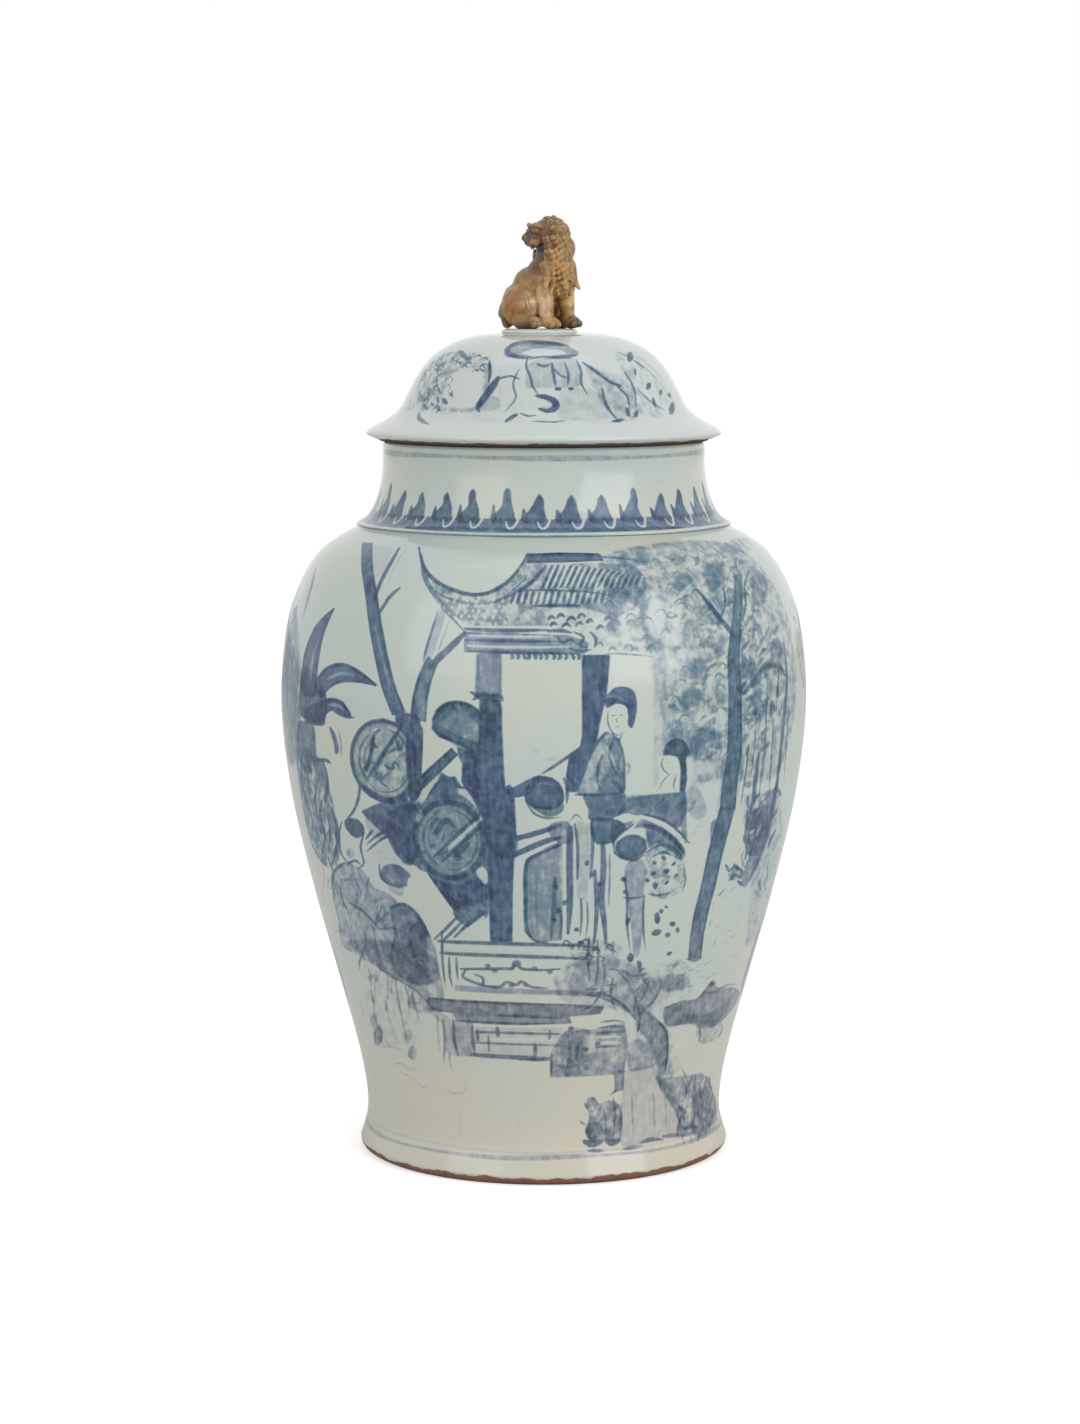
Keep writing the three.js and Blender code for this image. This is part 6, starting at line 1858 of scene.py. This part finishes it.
def lionLumps():
    shape = bmesh.new()
    body = turnedAbout(lion["heading"])
    ballInto(shape, body, (-10, 0, 11.5), (11.6, 12.2, 12))
    ballInto(shape, body, (-4.6, 0, 20.5), (11.6, 10, 9.5))
    rollInto(shape, body, (-6, 0, 15), 11, (4, 0, 28), 9.6)
    rollInto(shape, body, (4, 0, 27), 9.4, (4.5, 1.2, 37), 7.6)
    ballInto(shape, body, (8.4, 0, 24), (7.4, 9, 10))
    for side in (-1, 1):
        reach = 4.6 if side < 0 else 7.6
        ballInto(shape, body, (-7, side * 9.4, 10.4), (10, 6.2, 10), pitch=-0.2)
        rollInto(shape, body, (-5, side * 12.4, 3.3), 3.8, (3, side * 12.6, 2.8), 3.3)
        rollInto(shape, body, (reach, side * 6.4, 23), 4.8, (reach + 1.8, side * 6.6, 5), 3.5)
        ballInto(shape, body, (reach + 4, side * 6.8, 2.8), (4.6, 3.9, 3.2))
        ballInto(shape, body, (reach + 0.6, side * 6.8, 18), (4.2, 3.4, 6))
    rollInto(shape, body, (-18.4, -4, 2.8), 3, (-18.8, -5, 9), 3.2)
    rollInto(shape, body, (-18.8, -5, 9), 3.2, (-16.6, -5.4, 18), 1.6)
    rollInto(shape, body, (-17.6, -8, 7), 2.8, (-16, -9.2, 15.4), 1.1)
    rollInto(shape, body, (-18.8, -1.4, 8), 2.8, (-17.4, 0, 17), 1.1)
    head = turnedAbout(lion["gaze"], lion["headCentre"], lion["nod"])
    ballInto(shape, head, (0.8, 0, 1.4), (8.8, 8.6, 7.8))
    ballInto(shape, head, (7.6, 0, 0.4), (5.4, 5.2, 4.2), pitch=0.12)
    ballInto(shape, head, (9.6, 0, -0.6), (3.6, 4.4, 2.9))
    ballInto(shape, head, (-4, 0, -6), (7.4, 8.2, 7.4))
    rollInto(shape, head, (0, 0, -8), 3.4, (7.8, 0, -7.7), 1.5)
    for side in (-1, 1):
        ballInto(shape, head, (6.6, side * 4, 4.4), (3.2, 2.7, 2.6))
        ballInto(shape, head, (8.2, side * 3.7, -1.2), (4, 2.4, 2.4))
        ballInto(shape, head, (0.2, side * 7, -4), (3.6, 2.2, 4.2))
    return meshFrom(shape, "lion_lumps")


# What is laid on last: brows, eyes, nose, ears, teeth, tongue, beard and toes
def faceAndPaws(shape):
    head = turnedAbout(lion["gaze"], lion["headCentre"], lion["nod"])
    ballInto(shape, head, (12.5, 0, 1.4), (1.7, 2.8, 1.8))
    rollInto(shape, head, (8, 0, 4.6), 1.5, (11.8, 0, 2.6), 1.3)
    rollInto(shape, head, (8.4, 0, -8.4), 1.5, (9, 0, -9.6), 1.1)
    ballInto(shape, head, (5.4, 0, -6.2), (3.4, 1.8, 0.6), pitch=0.1)
    for side in (-1, 1):
        ballInto(shape, head, (9.2, side * 3.9, 4.1), (1.35, 1.35, 1.25))
        rollInto(shape, head, (8.4, side * 1.7, 6.6), 1.1, (8.2, side * 5.2, 7), 1.2)
        rollInto(shape, head, (8.2, side * 5.2, 7), 1.2, (5.8, side * 7.2, 5.4), 0.7)
        rollInto(shape, head, (12, side * 2.4, 0), 0.9, (9, side * 5.2, -2.4), 0.7)
        ballInto(shape, head, (12.8, side * 1.9, 0.8), (1.0, 0.9, 0.9))
        ballInto(shape, head, (-1.4, side * 8.6, 2.4), (3.2, 1.4, 2.7), pitch=0.4)
        rollInto(shape, head, (-4, side * 8.6, 4.4), 0.9, (1.6, side * 8.8, 4.2), 0.7)
        rollInto(shape, head, (9.4, side * 1.6, -3), 0.7, (9.6, side * 1.6, -4.6), 0.35)
    body = turnedAbout(lion["heading"])
    for side in (-1, 1):
        reach = 4.6 if side < 0 else 7.6
        for toe in (-1, 0, 1):
            y = side * 6.8 + toe * 2.4
            ballInto(shape, body, (reach + 7.2 - abs(toe) * 0.7, y, 2.1), (2.1, 1.3, 1.8))
            ballInto(shape, body, (4.3 + 0.8 * (1 - abs(toe)), side * 12.6 + toe * 2, 1.9), (1.9, 1.15, 1.6))
        rollInto(shape, body, (reach + 1.2, side * 9.6, 22), 1.0, (reach - 1.4, side * 9.8, 13), 0.5)
        rollInto(shape, body, (-1, side * 13.6, 15), 0.9, (1.6, side * 14.4, 9), 0.4)


# A snail curl one unit across: a low dome wound with a spiral ridge
def curlButton(turns, relief):
    rings, sides = 12, 28
    shape = bmesh.new()
    grid = []
    for i in range(1, rings + 1):
        out = i / rings
        row = []
        for k in range(sides):
            angle = math.tau * k / sides
            ridge = math.cos(angle - math.tau * turns * out) * relief * min(1, out * 2.5) * (1 - out**6)
            rise = 0.95 * math.sqrt(max(0, 1 - out * out)) + 0.3 * ridge
            row.append(shape.verts.new((out * math.cos(angle), out * math.sin(angle), rise)))
        grid.append(row)
    top = shape.verts.new((0, 0, 1.0))
    below = shape.verts.new((0, 0, -0.9))
    for k in range(sides):
        nextOne = (k + 1) % sides
        shape.faces.new((top, grid[0][k], grid[0][nextOne]))
        shape.faces.new((grid[-1][k], below, grid[-1][nextOne]))
        for low, high in zip(grid, grid[1:]):
            shape.faces.new((low[k], high[k], high[nextOne], low[nextOne]))
    return meshFrom(shape, "curl_button")


# A combed lock of three strands that run down together, wave and turn out at the tip
def maneLock(length):
    shape = bmesh.new()
    for side, girth in ((-1, 1.05), (0, 1.35), (1, 1.05)):
        for i in range(15):
            share = i / 14
            y = side * 1.4 * (1 - 0.75 * share**1.5) + 0.7 * math.sin(4.6 * share)
            z = 0.15 - 0.25 * abs(side) + 1.5 * share**4
            ballInto(shape, Matrix(), (length * share, y, z), (girth * (1.05 - 0.6 * share**2),) * 3, fine=2)
    return meshFrom(shape, "mane_lock")


# Where the locks of the mane and the curls of the crown sit, which way each faces and which way it runs
def seatsOfMane():
    body, head = turnedAbout(lion["heading"]), turnedAbout(lion["gaze"], lion["headCentre"], lion["nod"])
    nape = math.radians(lion["gaze"] + 180 - lion["heading"])
    locks, curls = [], []
    rows = ((42.5, 8.6, 14, 2.0, 0.0), (36.6, 9.4, 15, 2.0, -0.12), (30.4, 10.6, 16, 2.1, -0.1),
            (24, 11.4, 14, 1.9, 0.3))
    for number, (high, reach, count, spread, lean) in enumerate(rows):
        for i in range(count):
            angle = nape + spread * (2 * (i + 0.5 * (number % 2)) / (count - 0.5) - 1)
            outward = Vector((math.cos(angle), math.sin(angle), -lean)).normalized()
            flow = Vector((-lean * math.cos(angle), -lean * math.sin(angle), -1))
            seat = Vector((3.6 + math.cos(angle) * reach, math.sin(angle) * reach, high))
            locks.append((body @ seat, body.to_3x3() @ outward, body.to_3x3() @ flow,
                          1.0 if number < 3 else 0.75))
    for back, count, reach in ((0.1, 8, 8.2), (0.42, 9, 8.6), (0.74, 9, 8.9), (1.08, 7, 9.1), (1.4, 4, 9.3)):
        for i in range(count):
            swing = math.pi * 1.14 * ((i + 0.5) / count - 0.5)
            outward = Vector((-math.sin(back), math.sin(swing) * math.cos(back),
                              math.cos(swing) * math.cos(back)))
            curls.append((head @ (outward * reach + Vector((1.2, 0, 0.4))), head.to_3x3() @ outward,
                          Vector((0, 0, -1)), 1.0))
    return locks, curls


# Geometry nodes set one copy of a shape on each seat, facing out and running along the flow
def setInPlace(seats, one, size, variation, spin, seed):
    tree = bpy.data.node_groups.new("set_in_mane", "GeometryNodeTree")
    face = tree.interface
    face.new_socket("Geometry", in_out="INPUT", socket_type="NodeSocketGeometry")
    sockets = {name: face.new_socket(name, in_out="INPUT", socket_type="NodeSocket" + kind)
               for name, kind in (("Shape", "Object"), ("Size", "Float"), ("Size Variation", "Float"),
                                  ("Spin", "Float"), ("Seed", "Int"))}
    face.new_socket("Geometry", in_out="OUTPUT", socket_type="NodeSocketGeometry")
    given = addNode(tree, "NodeGroupInput").node.outputs
    shape = addNode(tree, "GeometryNodeObjectInfo", {"Object": given["Shape"]}, "Geometry")
    facing, flow = (addNode(tree, "GeometryNodeInputNamedAttribute", {"Name": name}, data_type="FLOAT_VECTOR")
                    for name in ("facing", "flow"))
    base = addNode(tree, "GeometryNodeInputNamedAttribute", {"Name": "size"}, data_type="FLOAT")
    run = addNode(tree, "FunctionNodeAlignRotationToVector", {"Vector": flow}, axis="X")
    align = addNode(tree, "FunctionNodeAlignRotationToVector", {"Rotation": run, "Vector": facing},
                    axis="Z", pivot_axis="X")

    # Chance turns about each seat's own facing, and chance sizes about the full one
    opposite = addNode(tree, "ShaderNodeMath", {0: given["Spin"], 1: -1.0}, operation="MULTIPLY")
    least = addNode(tree, "ShaderNodeMath", {0: 1.0, 1: given["Size Variation"]}, operation="SUBTRACT")
    most = addNode(tree, "ShaderNodeMath", {0: 1.0, 1: given["Size Variation"]})
    turn, vary = (addNode(tree, "FunctionNodeRandomValue", {2: low, 3: high, "Seed": given["Seed"]}, 1)
                  for low, high in ((opposite, given["Spin"]), (least, most)))
    spun = addNode(tree, "ShaderNodeCombineXYZ", {"Z": turn})
    rotation = addNode(tree, "FunctionNodeRotateRotation", {"Rotation": align, "Rotate By": spun},
                       rotation_space="LOCAL")
    full = given["Size"]
    for factor in (vary, base):
        full = addNode(tree, "ShaderNodeMath", {0: full, 1: factor}, operation="MULTIPLY")

    points = addNode(tree, "GeometryNodeMeshToPoints", {"Mesh": given["Geometry"]})
    placed = addNode(tree, "GeometryNodeInstanceOnPoints", {"Points": points, "Instance": shape,
                                                            "Rotation": rotation, "Scale": full})
    real = addNode(tree, "GeometryNodeRealizeInstances", {0: placed})
    finish = addNode(tree, "GeometryNodeSetMaterial", {"Geometry": real, "Material": giltGlaze})
    addNode(tree, "NodeGroupOutput", {0: finish})

    mesh = bpy.data.meshes.new("mane_seats")
    mesh.from_pydata([tuple(s[0]) for s in seats], [], [])
    for name, column in (("facing", 1), ("flow", 2)):
        flat = [c for s in seats for c in s[column]]
        mesh.attributes.new(name, "FLOAT_VECTOR", "POINT").data.foreach_set("vector", flat)
    mesh.attributes.new("size", "FLOAT", "POINT").data.foreach_set("value", [s[3] for s in seats])
    holder = addObject("mane_seats", mesh)
    copied = bpy.data.objects.new("mane_shape", one)
    nodes = holder.modifiers.new("set in mane", "NODES")
    nodes.node_group = tree
    for name, value in zip(sockets, (copied, size, variation, spin, seed)):
        nodes[sockets[name].identifier] = value
    evaluated = holder.evaluated_get(bpy.context.evaluated_depsgraph_get())
    made = bpy.data.meshes.new_from_object(evaluated)
    bpy.data.objects.remove(holder)
    bpy.data.objects.remove(copied)
    return made


# Brown and gold enamel fired over the glaze and worn. It gives the eye dark hollows, paler rubbed ridges,
# rust and bright gold flecks, and a satin gleam that comes and goes.
def wornGilding(name):
    made, tree = newMaterial(name)
    place = addNode(tree, "ShaderNodeTexCoord", out="Object")
    hollow, dark = (addNode(tree, "ShaderNodeAttribute", out="Fac", attribute_name=channel)
                    for channel in ("hollow", "dark"))
    tint = addNode(tree, "ShaderNodeAttribute", out="Color", attribute_name="tint")
    deep, rubbed = (addNode(tree, "ShaderNodeMapRange", {"Value": hollow, "From Min": low, "From Max": high,
                                                         "To Max": most}, interpolation_type="SMOOTHSTEP")
                    for low, high, most in ((0.15, 0.9, 0.7), (-0.15, -0.8, 0.35)))
    colour = layered(tree, tint, (
        (blotches(tree, place, 5, 0.4, 0.6, 0.55, 0, 3, 0.6), "#5e3c16"),
        (blotches(tree, place, 4, 0.55, 0.72, 0, 0.5, 3, 0.6), "#8f4f26"),
        (deep, "#432312"), (rubbed, "#c9a05a"), (dark, "#1d1217"),
        (blotches(tree, place, 1.3, 0.66, 0.74, 0, 0.5), "#d8b160")))
    pitted = addNode(tree, "ShaderNodeTexNoise", {"Vector": place, "Scale": 1 / (1.1 * millimetre),
                                                  "Detail": 3})
    grain = addNode(tree, "ShaderNodeBump", {"Height": pitted, "Distance": 0.00012, "Strength": 0.6})
    shader = addNode(tree, "ShaderNodeBsdfPrincipled", {
        "Base Color": colour, "Roughness": blotches(tree, place, 3, 0.3, 0.7, 0.28, 0.5), "IOR": 1.5,
        "Coat Weight": 0.25, "Coat Roughness": 0.2, "Normal": grain})
    addNode(tree, "ShaderNodeOutputMaterial", {"Surface": shader})
    return made


giltGlaze = wornGilding("worn_brown_gilt_enamel")


# Numbers read from the points or edges of a mesh, one row for each
def readFrom(items, what, width, kind=float):
    values = np.empty(len(items) * width, kind)
    items.foreach_get(what, values)
    return values.reshape(-1, width)


# For each point, the mean of the points that an edge joins it to
def neighbourMean(values, edges):
    total, number = np.zeros_like(values), np.zeros((len(values), 1))
    for here, there in ((0, 1), (1, 0)):
        np.add.at(total, edges[:, here], values[edges[:, there]])
    for here in (0, 1):
        np.add.at(number, edges[:, here], 1)
    return total / np.maximum(number, 1)


# Places as measured from the body's or the head's own middle
def seenFrom(matrix, places):
    back = np.array(matrix.inverted())
    return (back[:3, :3] @ places.T + back[:3, 3:]).T


# 1 at a spot on the lion fading to 0 at its reach
def near(places, matrix, centre, reach):
    gap = np.linalg.norm(places - np.array(matrix @ Vector(centre)), axis=1)
    return np.clip(1.6 * (1 - gap / reach), 0, 1)


# Darker and paler patches over the gold, in the body's or the head's own place, with a reach in mm
def lionShades(body, head):
    return (
        (head, (5, 0, 1), 16, 0.92, "#4d2f14"), (head, (0, 2, 9), 8, 0.85, "#43362b"),
        (head, (12, 0, 2), 8, 0.9, "#1c0f07"), (head, (6, 0, -14), 12, 0.92, "#45290f"),
        (head, (-8, 0, 2), 8, 0.8, "#ae8450"), (body, (12, 4, 27), 9, 0.6, "#a4854a"),
        (body, (-9, 0, 28), 13, 0.8, "#6b4c2c"), (body, (-8, -14, 11), 9.5, 0.85, "#a2662a"),
        (body, (5, -11.5, 13), 9.5, 0.92, "#d8b58c"), (body, (6, -11, 4), 6, 0.85, "#d8b58c"),
        (body, (3, -10, 21), 6.5, 0.6, "#b98f62"), (body, (11, 6.6, 13), 8.5, 0.92, "#d0ab62"),
        (body, (14, 6.6, 1.6), 5.6, 0.9, "#2e1b0c"), (body, (-6, -14, 0), 7, 0.9, "#4b380e"),
        (body, (3, -14.6, 1.6), 6, 0.9, "#2c1906"), (body, (-20, -4, 6), 9, 0.85, "#4d4238"),
        (body, (3.3, -7.5, 31), 8.5, 0.85, "#432810"), (body, (5.6, -6.4, 37), 5.5, 0.85, "#2a1408"),
        (body, (7.4, -5.6, 43), 8, 0.8, "#573611"),
    )


# Strands combed into the tail and the cheeks: how far each spot is pressed out or in, in mm
def combed(inBody, inHead):
    x, y, z = inBody.T
    tail = np.clip((-16.4 - x) / 2, 0, 1) * (z < 20)
    groove = np.sin(y * 2.6 + 0.18 * z) * tail * 0.28
    x, y, z = inHead.T
    cheek = np.clip(1 - np.abs(x - 1) / 6, 0, 1) * (np.abs(y) > 6) * (z < -1)
    return groove + np.sin(z * 2.3 + x * 0.8) * cheek * 0.2


# Where the enamel is nearly black: nose, throat, eyes, corners of the beard, ears and lips;
# and where the lion is near black low down, at the paws and chest, where it sits on the plinth
def darkness(places, inHead, body, head):
    dark = np.zeros(len(places))
    for x, y, z, reach in ((13.4, 0, 1.4, 3.4), (8.8, 0, -9, 3.2), (10.4, 3.9, 4.3, 1.7),
                           (2.6, 6.6, -6.6, 4.2), (9.4, 3.6, 7, 1.8), (11.4, 4, -3.4, 2.2)):
        for side in (-1, 1):
            dark = np.maximum(dark, 0.9 * near(places, head, (x, side * y, z), reach))
    x, y, z = inHead.T
    mouth = np.clip(1.6 - np.abs(z + 5) / 1.2, 0, 1) * np.clip((x + 1) / 3, 0, 1) * (np.abs(y) < 6.4)
    dark = np.maximum(dark, 0.8 * mouth)
    for centre, reach in (((14, 6.6, 1.8), 5.4), ((0, -13, 0), 4.4), ((9, -3, 1), 3)):
        dark = np.maximum(dark, 0.75 * near(places, body, centre, reach))
    return dark


# One skin of clay: the lumps melted together, face and mane laid on, and all of it melted again, finer
def lionSkin():
    shape = bmesh.new()
    shape.from_mesh(blended(lionLumps(), lion["firstGrain"], 9, 0.55))
    faceAndPaws(shape)
    locks, curls = seatsOfMane()
    shape.from_mesh(setInPlace(locks, maneLock(lion["lockLength"]), **lion["locks"]))
    shape.from_mesh(setInPlace(curls, curlButton(lion["curlTurns"], lion["curlRelief"]), **lion["curls"]))
    return blended(meshFrom(shape, "lion_detail"), lion["finalGrain"], 1, 0.4)


def buildLion():
    made = lionSkin()
    body, head = turnedAbout(lion["heading"]), turnedAbout(lion["gaze"], lion["headCentre"], lion["nod"])
    places, normals = readFrom(made.vertices, "co", 3), readFrom(made.vertices, "normal", 3)
    inBody, inHead = seenFrom(body, places), seenFrom(head, places)
    places = places + normals * combed(inBody, inHead)[:, None]

    # How deep in a hollow each spot lies: how far it is below the same skin smoothed out
    edges = readFrom(made.edges, "vertices", 2, np.int32)
    smoothed = places
    for _ in range(10):
        smoothed = neighbourMean(smoothed, edges)
    fullDepth = 0.22  # mm
    hollow = np.clip(((smoothed - places) * normals).sum(1) / fullDepth, -1, 1)
    dark = darkness(places, inHead, body, head)
    tint = np.tile(np.array(linear(lion["gold"])), (len(places), 1))
    for place, centre, reach, strength, shade in lionShades(body, head):
        share = (strength * near(places, place, centre, reach))[:, None]
        tint = tint * (1 - share) + np.array(linear(shade)) * share

    places[:, 2] = np.maximum(places[:, 2], -0.25)  # flat underneath, a little into the plinth
    places = places * lion["size"] + np.array((0, 0, lion["ground"]))
    made.vertices.foreach_set("co", (places * millimetre).ravel())
    for name, values in (("hollow", hollow), ("dark", dark)):
        made.attributes.new(name, "FLOAT", "POINT").data.foreach_set("value", values)
    made.attributes.new("tint", "FLOAT_COLOR", "POINT").data.foreach_set("color", tint.ravel())
    made.polygons.foreach_set("use_smooth", np.ones(len(made.polygons), bool))
    made.materials.clear()
    made.materials.append(giltGlaze)
    made.update()
    placed = addObject("seated_lion", made)
    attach(placed, "cover")
    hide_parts("lion_body", "lion_head", "lion_tail")
    print("lion:", len(made.polygons), "faces")


buildLion()

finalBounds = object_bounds()


def plainBounds(box):
    return json.loads(json.dumps(box, default=list))


{"before": plainBounds(cadBounds), "after": plainBounds(finalBounds)}
